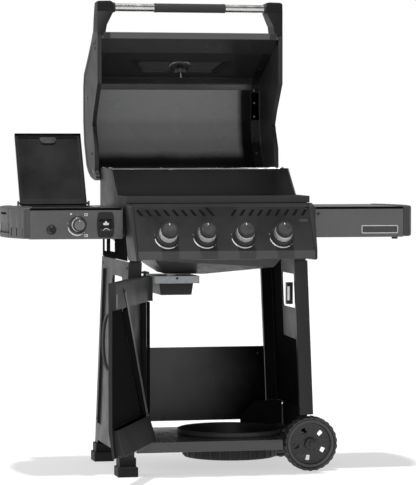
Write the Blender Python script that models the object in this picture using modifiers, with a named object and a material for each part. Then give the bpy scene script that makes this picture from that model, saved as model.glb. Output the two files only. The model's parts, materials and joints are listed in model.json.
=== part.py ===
"""Four-burner gas barbecue grill on a wheeled cart, with both lids and the front door standing open.

Metres, +Z up, +X to the right of someone standing in front, +Y towards the back. Every piece is
modelled about the cart, whose legs have their front faces at Y = 0 and which is centred on X = 0.
One parent empty then shifts the whole grill so that its box is centred on the world's origin.
Pieces that swing are modelled closed, under an empty on their hinge axis that turns them open.
"""

import math

import bmesh
import bpy
from mathutils import Matrix, Vector

# Whole grill
CENTRE_SHIFT_Y = -0.1367
GAP = 0.0003

# Cart: each side is one folded steel sheet that leans outwards towards the floor
FLOOR_HALF_WIDTH = 0.338
LEAN = math.atan(0.0406)
CART_DEPTH = 0.510
LEG_FACE = 0.046
LEG_LIP = 0.018
SHEET = 0.003
FRAME_TOP = 0.722
FOOT_LEG_END = 0.020
PANEL_BOTTOM = 0.076
FRONT_FOOT_REACH = 0.050
WINDOW_Y = {-1: (0.100, 0.285), 1: (0.100, 0.360)}
WINDOW_Z = (0.548, 0.668)
WINDOW_CHAMFER = 0.014

# Wheels on the right side, turning on one axle that runs from front to back
WHEEL_RADIUS = 0.094
WHEEL_X = 0.328
WHEEL_WIDTH = 0.046
WHEEL_Y = (0.043, 0.467)
AXLE_RADIUS = 0.005
LEG_END_OVER_WHEEL = 0.197

# Bottom shelf and gas bottle cup
SHELF_TOP = 0.114
SHELF_LIP = 0.035
SHELF_FRONT = -0.006
SHELF_BACK = 0.470
SHELF_NOTCH_X = 0.222
SHELF_NOTCH_Y = (0.077, 0.433)
CUP_CENTRE = (0.097, 0.260)
CUP_RIM_RADIUS = 0.182
CUP_HOLE_RADIUS = 0.172
CUP_FLOOR = 0.032

# Firebox
BOX_HALF_WIDTH = 0.316
BOX_WALL = 0.005
BOX_BOTTOM = 0.805
BOX_FRONT = 0.035
BOX_BACK = 0.505
RIM_Z = 0.941
WALL_TOP = 1.032
GRID_LEDGE_Z = 0.898
BURNER_COUNT = 4
BURNER_PITCH = 0.150
BURNER_Z = 0.832
BURNER_RADIUS = 0.0125

# Control panel: a face that leans back, and the knobs square to it
PANEL_HALF_WIDTH = 0.300
FACE_TOP = Vector((0.0, -0.045, 0.907))
FACE_BOTTOM = Vector((0.0, -0.130, 0.762))
PANEL_SHEET = 0.0025
KNOB_PITCH = 0.1305
KNOB_DOWN_FACE = 0.1120
KNOB_RADIUS = 0.030
KNOB_OFF_FACE = (0.0115, 0.0500)
STEM_RADIUS = 0.004

# Lid: its hinge, and outlines as (distance towards the front, height) from the hinge when closed
LID_HINGE = Vector((0.0, 0.535, 1.022))
LID_OPEN = math.radians(90)
CAP_INNER = 0.3185
CAP_OUTER = 0.3340
HANDLE_REACH = 0.574
HANDLE_DROP = -0.059
HANDLE_RADIUS = 0.0140
HANDLE_HALF = 0.2695
GRIP_HALF = 0.1285

# Side shelves
SHELF_IN = 0.331
SHELF_OUT = 0.643
SIDE_FRONT = -0.012
SIDE_BACK = 0.410
SIDE_Z = (0.800, 0.903)
BULGE = 0.712

# Side burner and its lid
WELL_X = (-0.612, -0.398)
WELL_Y = (0.098, 0.340)
SIDE_LID_HINGE = Vector((-0.505, 0.362, 0.9115))
SIDE_LID_HALF = 0.1165
SIDE_LID_REACH = 0.275
SIDE_LID_OPEN = math.radians(119)

# Folding right shelf
FOLD_AXIS = Vector((0.345, 0.0, 0.813))

# Front door, hinged on pins beside the left leg
DOOR_PIN = Vector((-0.2535, 0.003, 0.0))
DOOR_OPEN = math.radians(113)
DOOR_X = (-0.0071, 0.5145)
DOOR_Z = (0.118, 0.676)
DOOR_SKIN_Y = -0.007
DOOR_BEND_Z = 0.205
DOOR_BAND_Z = 0.590
BIN_END = 0.4800

BLACK = (0.012, 0.012, 0.013)
CHARCOAL = (0.045, 0.046, 0.048)
STEEL = (0.55, 0.55, 0.56)


def clear_scene():
    for obj in list(bpy.data.objects):
        bpy.data.objects.remove(obj, do_unlink=True)


def new_collection(name):
    collection = bpy.data.collections.new(name)
    bpy.context.scene.collection.children.link(collection)
    return collection


clear_scene()
GRILL = new_collection("gas_barbecue_grill")
TOOLS = new_collection("cutters")


def new_empty(name, location=(0, 0, 0), rotation=(0, 0, 0), parent=None):
    empty = bpy.data.objects.new(name, None)
    empty.empty_display_size = 0.05
    empty.location = location
    empty.rotation_euler = rotation
    empty.parent = parent
    GRILL.objects.link(empty)
    return empty


def material(name, colour, roughness, metallic):
    made = bpy.data.materials.new(name)
    made.use_nodes = True
    shader = made.node_tree.nodes["Principled BSDF"]
    shader.inputs["Base Color"].default_value = (*colour, 1.0)
    shader.inputs["Roughness"].default_value = roughness
    shader.inputs["Metallic"].default_value = metallic
    return made


def new_object(name, mesh, parent):
    obj = bpy.data.objects.new(name, mesh)
    obj.parent = parent
    GRILL.objects.link(obj)
    return obj


def finish(obj, colour=BLACK, roughness=0.45, metallic=0.0, smooth=False):
    obj.data.materials.clear()
    obj.data.materials.append(material(obj.name, colour, roughness, metallic))
    if smooth:
        obj.data.shade_smooth()
        obj.data.set_sharp_from_angle(angle=math.radians(35))
    return obj


def mesh_from(work, name):
    bmesh.ops.recalc_face_normals(work, faces=work.faces)
    mesh = bpy.data.meshes.new(name)
    work.to_mesh(mesh)
    work.free()
    return mesh


def box(name, low, high, parent):
    """A rectangular block between two corners."""
    work = bmesh.new()
    bmesh.ops.create_cube(work, size=1.0)
    low, high = Vector(low), Vector(high)
    for vertex in work.verts:
        vertex.co = (low + high) / 2 + vertex.co * (high - low)
    return new_object(name, mesh_from(work, name), parent)


def rod(name, start, end, radius, parent, sides=16, end_radius=None):
    """A round bar, or a cone where the second radius differs."""
    start, end = Vector(start), Vector(end)
    turn = (end - start).to_track_quat("Z", "Y").to_matrix().to_4x4()
    work = bmesh.new()
    bmesh.ops.create_cone(
        work,
        cap_ends=True,
        segments=sides,
        radius1=radius,
        radius2=radius if end_radius is None else end_radius,
        depth=(end - start).length,
        matrix=Matrix.Translation((start + end) / 2) @ turn,
    )
    return new_object(name, mesh_from(work, name), parent)


# Each plane maps a flat outline's two coordinates, and the direction that it is extruded in.
PLANES = {
    "X": Matrix(((0, 0, 1, 0), (1, 0, 0, 0), (0, 1, 0, 0), (0, 0, 0, 1))),
    "Y": Matrix(((1, 0, 0, 0), (0, 0, -1, 0), (0, 1, 0, 0), (0, 0, 0, 1))),
    "Z": Matrix.Identity(4),
}


def plate(name, outline, low, high, axis, parent, holes=(), place=None):
    """A flat outline, with holes, extruded from low to high along an axis.

    Across X the outline is (y, z), across Y it is (x, z), and across Z it is (x, y).
    """
    curve = bpy.data.curves.new(name, "CURVE")
    curve.dimensions = "2D"
    curve.fill_mode = "BOTH"
    curve.extrude = (high - low) / 2
    for ring in (outline, *holes):
        spline = curve.splines.new("POLY")
        spline.points.add(len(ring) - 1)
        for point, (u, v) in zip(spline.points, ring):
            point.co = (u, v, 0, 1)
        spline.use_cyclic_u = True
    flat = bpy.data.objects.new(name + "_outline", curve)
    TOOLS.objects.link(flat)
    graph = bpy.context.evaluated_depsgraph_get()
    mesh = bpy.data.meshes.new_from_object(flat.evaluated_get(graph))
    bpy.data.objects.remove(flat, do_unlink=True)
    axis_of = {"X": (1, 0, 0), "Y": (0, 1, 0), "Z": (0, 0, 1)}[axis]
    middle = Matrix.Translation(Vector(axis_of) * (low + high) / 2)
    mesh.transform((place or Matrix.Identity(4)) @ middle @ PLANES[axis])
    work = bmesh.new()
    work.from_mesh(mesh)
    bmesh.ops.remove_doubles(work, verts=work.verts, dist=1e-6)
    bpy.data.meshes.remove(mesh)
    return new_object(name, mesh_from(work, name), parent)


def turned(name, profile, place, parent, steps=32, closed=False):
    """A profile of (radius, height) points, outer side first, turned about Z and then placed."""
    mesh = bpy.data.meshes.new(name)
    count = len(profile)
    edges = [(i, i + 1) for i in range(count - 1)]
    if closed:
        edges.append((count - 1, 0))
    mesh.from_pydata([(r, 0, h) for r, h in profile], edges, [])
    obj = new_object(name, mesh, parent)
    obj.matrix_local = place
    screw = obj.modifiers.new("Turn", "SCREW")
    screw.steps = steps
    screw.render_steps = steps
    screw.use_merge_vertices = True
    screw.merge_threshold = 0.0001
    screw.use_smooth_shade = True
    return obj


def as_tool(obj):
    for collection in list(obj.users_collection):
        collection.objects.unlink(obj)
    TOOLS.objects.link(obj)
    obj.hide_render = True
    obj.display_type = "WIRE"
    return obj


def boolean(obj, tools, operation):
    for tool in tools:
        as_tool(tool)
        modifier = obj.modifiers.new(operation.title(), "BOOLEAN")
        modifier.operation = operation
        modifier.solver = "EXACT"
        modifier.object = tool
    return obj


def cut(obj, *tools):
    return boolean(obj, tools, "DIFFERENCE")


def join(obj, *tools):
    return boolean(obj, tools, "UNION")


def ring(centre, radius, sides):
    turn = 2 * math.pi / sides
    return [
        (centre[0] + radius * math.cos(i * turn), centre[1] + radius * math.sin(i * turn))
        for i in range(sides)
    ]


def rectangle(u, v, chamfer=0.0):
    (u0, u1), (v0, v1), c = u, v, chamfer
    if not c:
        return [(u0, v0), (u1, v0), (u1, v1), (u0, v1)]
    return [
        (u0 + c, v0), (u1 - c, v0), (u1, v0 + c), (u1, v1 - c),
        (u1 - c, v1), (u0 + c, v1), (u0, v1 - c), (u0, v0 + c),
    ]


def sided(name, side):
    return name + ("_left" if side < 0 else "_right")


def leg_inner_x(z):
    """Half the clear width between the front legs at a height."""
    return FLOOR_HALF_WIDTH - math.tan(LEAN) * z - LEG_FACE


# ---------------------------------------------------------------- cart


def frame_section(side):
    """Plan of one side: outer web, front and rear leg faces, and their return lips."""
    back = CART_DEPTH
    points = [
        (0, 0), (LEG_FACE, 0), (LEG_FACE, LEG_LIP), (LEG_FACE - SHEET, LEG_LIP),
        (LEG_FACE - SHEET, SHEET), (SHEET, SHEET), (SHEET, back - SHEET),
        (LEG_FACE - SHEET, back - SHEET), (LEG_FACE - SHEET, back - LEG_LIP),
        (LEG_FACE, back - LEG_LIP), (LEG_FACE, back), (0, back),
    ]
    return [(-side * x, y) for x, y in points]


def side_frame(side, root):
    """The folded sheet stands upright in its own frame, which leans and sits at the floor line."""
    name = sided("side_frame", side)
    lean = new_empty(name + "_lean", (side * FLOOR_HALF_WIDTH, 0, 0), (0, -side * LEAN, 0), root)
    frame = plate(name, frame_section(side), FOOT_LEG_END, FRAME_TOP, "Z", lean)
    window = plate(
        name + "_window", rectangle(WINDOW_Y[side], WINDOW_Z, WINDOW_CHAMFER), -0.02, 0.02, "X", lean
    )
    tools = [window]
    if side < 0:
        tools.append(
            box(name + "_under", (-0.1, FRONT_FOOT_REACH, -0.1),
                (0.1, CART_DEPTH - FRONT_FOOT_REACH, PANEL_BOTTOM), lean)
        )
    else:
        clear = 0.085
        tools.append(box(name + "_wheel_a", (-0.1, -0.1, -0.1), (0.1, clear, LEG_END_OVER_WHEEL), lean))
        tools.append(
            box(name + "_wheel_b", (-0.1, CART_DEPTH - clear, -0.1), (0.1, 1.0, LEG_END_OVER_WHEEL), lean)
        )
        tools.append(box(name + "_under", (-0.1, -0.1, -0.1), (0.1, 1.0, 0.121), lean))
    cut(frame, *tools)
    return finish(frame, BLACK, 0.42)


def cradle_bracket(side, root):
    """The windowed plate that carries the firebox on top of one side frame."""
    name = sided("cradle_bracket", side)
    x = sorted((side * 0.3055, side * 0.3085))
    outline = rectangle((0.034, CART_DEPTH - 0.012), (FRAME_TOP + 0.001, BOX_BOTTOM - GAP))
    windows = [
        rectangle((0.262, 0.362), (0.745, 0.796)), rectangle((0.420, 0.472), (0.742, 0.796)),
        ring((0.391, 0.762), 0.004, 10),
    ]
    return finish(plate(name, outline, *x, "X", root, windows), BLACK, 0.45)


def foot_boot(name, y_low, root):
    """A moulded foot with a wide base, a narrower sleeve and a pocket for the leg."""
    x_low, x_high = -0.3475, -0.2785
    y_high = y_low + 0.078
    base = box(name, (x_low, y_low, 0), (x_high, y_high, 0.033), root)
    inset = 0.006
    sleeve = box(
        name + "_sleeve",
        (x_low + inset, y_low + inset, 0.010), (x_high - inset, y_high - inset, 0.064), root,
    )
    pocket = box(
        name + "_pocket", (-0.3385, y_low + 0.0115, 0.016), (-0.2880, y_high - 0.0115, 0.10), root
    )
    join(base, sleeve)
    cut(base, pocket)
    return finish(base, (0.02, 0.02, 0.02), 0.6)


def bottom_shelf(root):
    """Flanged tray with steps for the wheels and an upright guard in front of the rear wheel."""
    half = leg_inner_x(SHELF_TOP) - 0.005

    def plan(inset):
        left, right, notch = -half + inset, half - inset, SHELF_NOTCH_X - inset
        front, step = SHELF_FRONT + inset, SHELF_NOTCH_Y[0] + inset
        back, step_back = SHELF_BACK - inset, SHELF_NOTCH_Y[1] - inset
        return [
            (left, front), (notch, front), (notch, step), (right, step), (right, step_back),
            (notch, step_back), (notch, back), (left, back),
        ]

    shelf = plate("bottom_shelf", plan(0), SHELF_TOP - SHELF_LIP, SHELF_TOP, "Z", root)
    hollow = plate("bottom_shelf_hollow", plan(SHEET), 0, SHELF_TOP - SHEET, "Z", root)
    hole = rod("bottom_shelf_hole", (*CUP_CENTRE, 0), (*CUP_CENTRE, 0.2), CUP_HOLE_RADIUS, root, 32)
    pin = DOOR_PIN
    pin_hole = rod("bottom_shelf_pin", (pin.x, pin.y, 0.105), (pin.x, pin.y, 0.2), 0.0052, root, 12)
    guard_outline = [(0.175, 0.1115), (0.305, 0.1115), (0.305, 0.1225), (0.325, 0.1225), (0.325, 0.205),
                     (0.225, 0.205), (0.175, 0.150)]
    cut(shelf, hollow, hole, pin_hole)
    join(shelf, plate("bottom_shelf_guard", guard_outline, 0.4295, 0.4325, "Y", root))
    return finish(shelf, BLACK, 0.4)


def tank_cup(root):
    """Open cup for the foot of the gas bottle: a rim that rests on the shelf, wall and floor."""
    hole = CUP_HOLE_RADIUS - 0.002
    profile = [
        (0, CUP_FLOOR), (hole - 0.010, CUP_FLOOR), (hole - 0.006, CUP_FLOOR + 0.01),
        (hole, SHELF_TOP + GAP), (CUP_RIM_RADIUS, SHELF_TOP + GAP), (CUP_RIM_RADIUS, 0.130),
        (CUP_RIM_RADIUS - 0.006, 0.131), (hole - 0.003, 0.118), (hole - 0.010, CUP_FLOOR + 0.012),
        (hole - 0.014, CUP_FLOOR + 0.003), (0, CUP_FLOOR + 0.003),
    ]
    place = Matrix.Translation((*CUP_CENTRE, 0))
    return finish(turned("tank_cup", profile[::-1], place, root, 36), BLACK, 0.5)


def rear_panel(root):
    low, high = 0.133, 0.395
    def edge(z):
        return leg_inner_x(z) - 0.0008
    outline = [(-edge(low), low), (edge(low), low), (edge(high), high), (-edge(high), high)]
    return finish(plate("rear_panel", outline, 0.4950, 0.4980, "Y", root), BLACK, 0.35)


def door_hinge_bracket(root):
    """Small tab on top of the left leg that holds the door's upper pin."""
    pin = DOOR_PIN
    tab = box("door_hinge_bracket", (-0.2632, -0.005, 0.6825), (-0.2390, 0.015, 0.6885), root)
    cut(tab, rod("hinge_bracket_bore", (pin.x, pin.y, 0.67), (pin.x, pin.y, 0.70), 0.0052, root, 12))
    return finish(tab, BLACK, 0.5)


def wheel(name, y, root):
    """A spoked wheel with five windows, and a solid tyre round it; both turn on the axle."""
    hub = new_empty("hub_" + name, (WHEEL_X, y, WHEEL_RADIUS), (math.pi / 2, 0, 0), root)
    half = WHEEL_WIDTH / 2
    inner = WHEEL_RADIUS - 0.011
    tyre_profile = [
        (inner, half - 0.004), (inner + 0.005, half), (WHEEL_RADIUS - 0.004, half),
        (WHEEL_RADIUS, half - 0.004), (WHEEL_RADIUS, -half + 0.004), (WHEEL_RADIUS - 0.004, -half),
        (inner + 0.005, -half), (inner, -half + 0.004),
    ]
    tyre = turned("tyre_" + name, tyre_profile, Matrix.Identity(4), hub, 36, closed=True)
    finish(tyre, (0.02, 0.02, 0.02), 0.7)
    windows = []
    for i in range(5):
        turn = math.radians(45 + 72 * i)
        along, across = Vector((math.cos(turn), math.sin(turn))), Vector((-math.sin(turn), math.cos(turn)))
        corners = ((-0.009, -0.007), (0.009, -0.008), (0.009, 0.008), (-0.009, 0.007))
        windows.append([tuple(along * (0.049 + a) + across * b) for a, b in corners])
    bore = ring((0, 0), AXLE_RADIUS + 0.0005, 16)
    disc = plate(
        "wheel_" + name, ring((0, 0), inner - 0.0006, 36), -half + 0.004, half - 0.004, "Z", hub,
        [bore, *windows],
    )
    finish(disc, (0.02, 0.02, 0.02), 0.5)


def axle(root):
    bar = rod(
        "axle",
        (WHEEL_X, WHEEL_Y[0] - 0.030, WHEEL_RADIUS), (WHEEL_X, WHEEL_Y[1] + 0.030, WHEEL_RADIUS),
        AXLE_RADIUS, root, 16,
    )
    return finish(bar, STEEL, 0.3, 1.0, smooth=True)


def axle_carrier(root):
    """The square tube under the right side frame that the axle runs through."""
    outline = rectangle((WHEEL_X - 0.014, WHEEL_X + 0.014), (0.080, 0.1185))
    bore = ring((WHEEL_X, WHEEL_RADIUS), AXLE_RADIUS + 0.0004, 16)
    low, high = WHEEL_Y[0] + 0.026, WHEEL_Y[1] - 0.026
    return finish(plate("axle_carrier", outline, low, high, "Y", root, [bore]), BLACK, 0.5)


# ---------------------------------------------------------------- firebox and what it holds


def burner_x(index):
    return (index - (BURNER_COUNT - 1) / 2) * BURNER_PITCH


def firebox(root):
    """Open-topped body: side walls that step down to the front, cooking-grid ledges, hinge ears."""
    half, top = BOX_HALF_WIDTH, WALL_TOP
    side = [
        (BOX_FRONT, BOX_BOTTOM), (BOX_FRONT, RIM_Z - 0.022), (0, RIM_Z - 0.022), (0, RIM_Z),
        (0.188, RIM_Z + 0.001), (0.298, top), (BOX_BACK, top), (BOX_BACK, BOX_BOTTOM),
    ]
    body = plate("firebox", side, -half, half, "X", root)
    wall, ledge = BOX_WALL, 0.012
    inner_front, inner_back = BOX_FRONT + wall, BOX_BACK - wall
    above = box("firebox_above", (-half + wall, inner_front, GRID_LEDGE_Z), (half - wall, inner_back, 1.2),
                root)
    below = box("firebox_below", (-half + wall, inner_front + ledge, BOX_BOTTOM - 0.1),
                (half - wall, inner_back - ledge, 1.1), root)
    cut(body, above, below)
    for i in range(BURNER_COUNT):
        x = burner_x(i)
        cut(body, rod(f"firebox_port_{i}", (x, 0, BURNER_Z), (x, 0.06, BURNER_Z), BURNER_RADIUS + 0.001,
                      root, 16))
    ear = [
        (BOX_BACK - 0.030, top - 0.002), (BOX_BACK + 0.040, top - 0.002), (BOX_BACK + 0.047, top - 0.010),
        (BOX_BACK + 0.044, 1.000), (BOX_BACK - 0.001, 0.985), (BOX_BACK - 0.030, 0.985),
    ]
    for s in (-1, 1):
        x = sorted((s * (half - wall + 0.0005), s * (half - 0.0005)))
        join(body, plate(f"firebox_ear_{s}", ear, *x, "X", root))
        join(body, rod(f"firebox_pin_{s}", (s * 0.3135, LID_HINGE.y, LID_HINGE.z),
                       (s * 0.3300, LID_HINGE.y, LID_HINGE.z), 0.006, root, 16))
    return finish(body, (0.02, 0.02, 0.021), 0.5)


def grease_funnel(root):
    """The sloped sheet under the firebox: steep sides, a flatter floor and a low outlet on the left."""
    rings = (
        ((-0.300, 0.300), (0.046, 0.494), (BOX_BOTTOM - 0.0035, BOX_BOTTOM - 0.0035)),
        ((-0.205, 0.205), (0.060, 0.480), (0.722, 0.697)),
        ((-0.150, -0.010), (0.190, 0.310), (0.673, 0.670)),
    )
    points = [
        (x[i], y[j], z[i]) for x, y, z in rings for i, j in ((0, 0), (1, 0), (1, 1), (0, 1))
    ]
    faces = [
        (row + i, row + (i + 1) % 4, row + 4 + (i + 1) % 4, row + 4 + i) for row in (0, 4) for i in range(4)
    ]
    mesh = bpy.data.meshes.new("grease_funnel")
    mesh.from_pydata(points, [], faces)
    funnel = new_object("grease_funnel", mesh, root)
    solid = funnel.modifiers.new("Sheet", "SOLIDIFY")
    solid.thickness = 0.002
    solid.offset = 1
    return finish(funnel, (0.35, 0.35, 0.36), 0.4, 1.0)


def drip_tray_holder(root):
    """A top plate with a drain hole, a closed front and two C-shaped rails that the tray hangs in."""
    left, right, top, bottom, t = -0.190, -0.034, 0.6655, 0.640, 0.002
    section = [
        (left, top), (left, bottom), (left + 0.010, bottom), (left + 0.010, bottom + t),
        (left + t, bottom + t), (left + t, top - t), (right - t, top - t), (right - t, bottom + t),
        (right - 0.010, bottom + t), (right - 0.010, bottom), (right, bottom), (right, top),
    ]
    holder = plate("drip_tray_holder", section, 0.150, 0.345, "Y", root)
    front = box("holder_front", (left + 0.0005, 0.1505, bottom + 0.0005), (right - 0.0005, 0.1525, top - 0.0005),
                root)
    drain = rod("holder_drain", (-0.1125, 0.25, 0.6), (-0.1125, 0.25, 0.7), 0.028, root, 20)
    vent = rod("holder_vent", (-0.112, 0.14, 0.658), (-0.112, 0.16, 0.658), 0.004, root, 10)
    join(holder, front)
    cut(holder, drain, vent)
    return finish(holder, (0.5, 0.5, 0.51), 0.35, 1.0)


def drip_tray(root):
    """A tapered pan under a flat flange; it slides out to the back."""
    left, right, low, high = -0.1855, -0.0385, 0.600, 0.6455
    flange = box("drip_tray", (left, 0.155, high), (right, 0.342, high + 0.002), root)
    pan = [(left + 0.013, high + 0.0005), (left + 0.020, low), (right - 0.020, low),
           (right - 0.013, high + 0.0005)]
    body = plate("drip_tray_body", pan, 0.165, 0.332, "Y", root)
    inner = [(left + 0.015, high + 0.01), (left + 0.022, low + 0.002), (right - 0.022, low + 0.002),
             (right - 0.015, high + 0.01)]
    hollow = plate("drip_tray_hollow", inner, 0.167, 0.330, "Y", root)
    join(flange, body)
    cut(flange, hollow)
    return finish(flange, (0.03, 0.03, 0.03), 0.4)


def burners(root):
    for i in range(BURNER_COUNT):
        x = burner_x(i)
        tube = rod(f"burner_tube_{i + 1}", (x, 0.004, BURNER_Z), (x, 0.470, BURNER_Z), BURNER_RADIUS,
                   root, 16)
        throat = rod(f"burner_throat_{i + 1}", (x, -0.010, BURNER_Z), (x, 0.045, BURNER_Z), 0.008,
                     root, 12)
        cut(tube, throat)
        finish(tube, STEEL, 0.35, 1.0, smooth=True)


def heat_plates(root):
    """Folded tents over the burners."""
    half, rise, t = 0.052, 0.030, 0.002
    low = 0.850
    for i in range(BURNER_COUNT):
        x = burner_x(i)
        section = [
            (x - half, low), (x - half + t, low), (x - 0.004, low + rise - t), (x + 0.004, low + rise - t),
            (x + half - t, low), (x + half, low), (x + 0.006, low + rise), (x - 0.006, low + rise),
        ]
        finish(plate(f"heat_plate_{i + 1}", section, 0.056, 0.484, "Y", root), STEEL, 0.35, 1.0)


def cooking_grids(root):
    """Two cast grids, each a frame with bars from front to back."""
    low_z = GRID_LEDGE_Z + GAP
    for side in (-1, 1):
        x0, x1 = sorted((side * 0.0015, side * 0.3095))
        y0, y1 = BOX_FRONT + BOX_WALL + 0.001, BOX_BACK - BOX_WALL - 0.001
        count, rim, middle = 13, 0.010, 0.012
        step = (x1 - x0 - 2 * rim) / count
        slots = []
        for i in range(count):
            u = (x0 + rim + i * step + 0.004, x0 + rim + (i + 1) * step - 0.004)
            centre = (y0 + y1) / 2
            slots.append(rectangle(u, (y0 + 0.016, centre - middle / 2)))
            slots.append(rectangle(u, (centre + middle / 2, y1 - 0.016)))
        grid = plate(sided("cooking_grid", side), rectangle((x0, x1), (y0, y1)), low_z, low_z + 0.012,
                     "Z", root, slots)
        finish(grid, (0.018, 0.018, 0.018), 0.55, 0.3)


def warming_rack(root):
    """Wire shelf across the top of the firebox walls, with its end wires over the wall tops."""
    x, y0, y1, z = 0.300, 0.352, 0.488, 1.026
    count = 12
    step = (y1 - y0 - 0.006) / count
    slots = [
        rectangle((-x + 0.005, x - 0.005), (y0 + 0.0045 + i * step, y0 + 0.0045 + (i + 1) * step - 0.003))
        for i in range(count)
    ]
    rack = plate("warming_rack", rectangle((-x, x), (y0, y1)), z, z + 0.005, "Z", root, slots)
    for cross in (-0.100, 0.100):
        join(rack, box(f"rack_cross_{cross}", (cross - 0.002, y0 + 0.001, z - 0.003),
                       (cross + 0.002, y1 - 0.001, z + 0.0015), root))
    for s in (-1, 1):
        for y in (y0 + 0.012, y1 - 0.012):
            lug = box(f"rack_lug_{s}_{y:.3f}", (min(s * 0.297, s * 0.3145), y - 0.003, z + 0.001),
                      (max(s * 0.297, s * 0.3145), y + 0.003, z + 0.011), root)
            under = box(f"rack_under_{s}_{y:.3f}", (min(s * 0.305, s * 0.32), y - 0.01, z - 0.01),
                        (max(s * 0.305, s * 0.32), y + 0.01, WALL_TOP + GAP), root)
            join(rack, lug)
            cut(rack, under)
    return finish(rack, (0.6, 0.6, 0.6), 0.25, 1.0)


# ---------------------------------------------------------------- control panel

FACE_DIRECTION = (FACE_BOTTOM - FACE_TOP).normalized()
FACE_NORMAL = Vector((0, FACE_DIRECTION.z, -FACE_DIRECTION.y))
# Outlines drawn on the face have X to the right and Y up the slope.
FACE_FRAME = Matrix(
    (
        (1, 0, 0, 0),
        (0, -FACE_DIRECTION.y, FACE_NORMAL.y, FACE_TOP.y),
        (0, -FACE_DIRECTION.z, FACE_NORMAL.z, FACE_TOP.z),
        (0, 0, 0, 1),
    )
)


def knob_x(index):
    return (index - 1.5) * KNOB_PITCH


def on_face(x, down, off=0.0):
    return Vector((x, 0, 0)) + FACE_TOP + FACE_DIRECTION * down + FACE_NORMAL * off


def vent_slots():
    """Two rows of nine slots that lean towards the middle as they go down."""
    slots = []
    for side in (-1, 1):
        for i in range(9):
            x = side * (0.034 + i * 0.0303)
            long = 0.030 if i == (0 if side < 0 else 8) else 0.021
            lean, half = -side * 0.75, 0.0032
            lower, upper = (x + lean * 0.004, -0.034), (x + lean * 0.004 - lean * long, -0.034 + long)
            slots.append(
                [(lower[0] - half, lower[1]), (lower[0] + half, lower[1]), (upper[0] + half, upper[1]),
                 (upper[0] - half, upper[1])]
            )
    return slots


def control_panel(root):
    t = PANEL_SHEET
    outer = [(0.029, 0.9165), (-0.012, 0.9165), (FACE_TOP.y, FACE_TOP.z), (FACE_BOTTOM.y, FACE_BOTTOM.z),
             (-0.1375, 0.734), (-0.085, 0.731)]
    inner = [(-0.085, 0.731 + t), (-0.1375 + t, 0.734 + t), (FACE_BOTTOM.y + t, FACE_BOTTOM.z + t * 0.3),
             (FACE_TOP.y + t * 0.9, FACE_TOP.z - t * 0.7), (-0.011, 0.9165 - t), (0.029, 0.9165 - t)]
    panel = plate("control_panel", outer + inner, -PANEL_HALF_WIDTH, PANEL_HALF_WIDTH, "X", root)
    first, *others = vent_slots()
    slots = plate("panel_slots", first, -0.02, 0.02, "Z", root, others, place=FACE_FRAME)
    cut(panel, slots)
    for i in range(BURNER_COUNT):
        x = knob_x(i)
        cut(panel, rod(f"panel_stem_hole_{i}", on_face(x, KNOB_DOWN_FACE, 0.01),
                       on_face(x, KNOB_DOWN_FACE, -0.02), 0.007, root, 12))
    return finish(panel, BLACK, 0.35)


def panel_cap(side, root):
    """Solid end moulding of the control panel, thinner towards its foot."""
    outline = [(0.030, 0.9175), (-0.013, 0.9175), (-0.047, 0.909), (-0.1325, 0.763), (-0.1400, 0.738),
               (-0.1340, 0.7295), (0.020, 0.727)]
    inner, outer, taper = PANEL_HALF_WIDTH + GAP, 0.3215, 0.078
    cap = plate(sided("panel_cap", side), outline, *sorted((side * inner, side * outer)), "X", root)
    for vertex in cap.data.vertices:
        if abs(vertex.co.x) > (inner + outer) / 2:
            vertex.co.x = side * (outer - (FACE_TOP.z - vertex.co.z) * taper)
    return finish(cap, (0.02, 0.02, 0.021), 0.5)


def knob(name, face, axis, radius, off, parent, colour=(0.03, 0.03, 0.032)):
    """A turned knob with a bore in its back for the stem. Its empty sits on the axis it turns on."""
    turn = axis.to_track_quat("Z", "Y").to_euler()
    spindle = new_empty("spindle_" + name, face, turn, parent)
    low, high = off
    profile = [
        (STEM_RADIUS + 0.0006, low), (radius, low), (radius, low + 0.45 * (high - low)),
        (radius * 0.93, high - 0.002), (radius * 0.87, high), (0, high), (0, low + 0.022),
        (STEM_RADIUS + 0.0006, low + 0.022),
    ]
    profile = [profile[i] for i in (5, 4, 3, 2, 1, 0, 7, 6)]
    made = turned(name, profile, Matrix.Identity(4), spindle, 24)
    return finish(made, colour, 0.4)


def gas_manifold(root):
    """Square gas rail behind the panel with a valve body and a stem for each knob."""
    behind = 0.062
    start = on_face(0, KNOB_DOWN_FACE, -behind)
    rail = box("gas_manifold", (-0.275, start.y - 0.010, start.z - 0.010),
               (0.275, start.y + 0.010, start.z + 0.010), root)
    for i in range(BURNER_COUNT):
        x = knob_x(i)
        valve = rod(f"valve_{i}", on_face(x, KNOB_DOWN_FACE, -behind), on_face(x, KNOB_DOWN_FACE, -0.012),
                    0.0125, root, 12)
        stem = rod(f"stem_{i}", on_face(x, KNOB_DOWN_FACE, -0.015),
                   on_face(x, KNOB_DOWN_FACE, KNOB_OFF_FACE[0] + 0.020), STEM_RADIUS, root, 12)
        join(rail, valve, stem)
    return finish(rail, (0.35, 0.33, 0.30), 0.4, 1.0)


# ---------------------------------------------------------------- lid


def lid_outline(points):
    """From (distance towards the front, height) to the closed lid's (y, z)."""
    return [(-s, h) for s, h in points]


LID_INSIDE = [
    (0.465, -0.0755), (0.419, 0.015), (0.335, 0.190), (0.315, 0.206), (0.285, 0.214), (0.180, 0.214),
    (0.100, 0.197), (0.020, 0.150), (-0.006, 0.105), (-0.012, 0.065),
]
LID_OUTSIDE = [
    (-0.0145, 0.065), (-0.0085, 0.106), (0.018, 0.1525), (0.099, 0.1995), (0.180, 0.2170), (0.300, 0.2170),
    (0.338, 0.203), (0.392, 0.122), (0.455, 0.040), (0.487, -0.0755), (0.487, -0.0780), (0.465, -0.0780),
]
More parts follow.
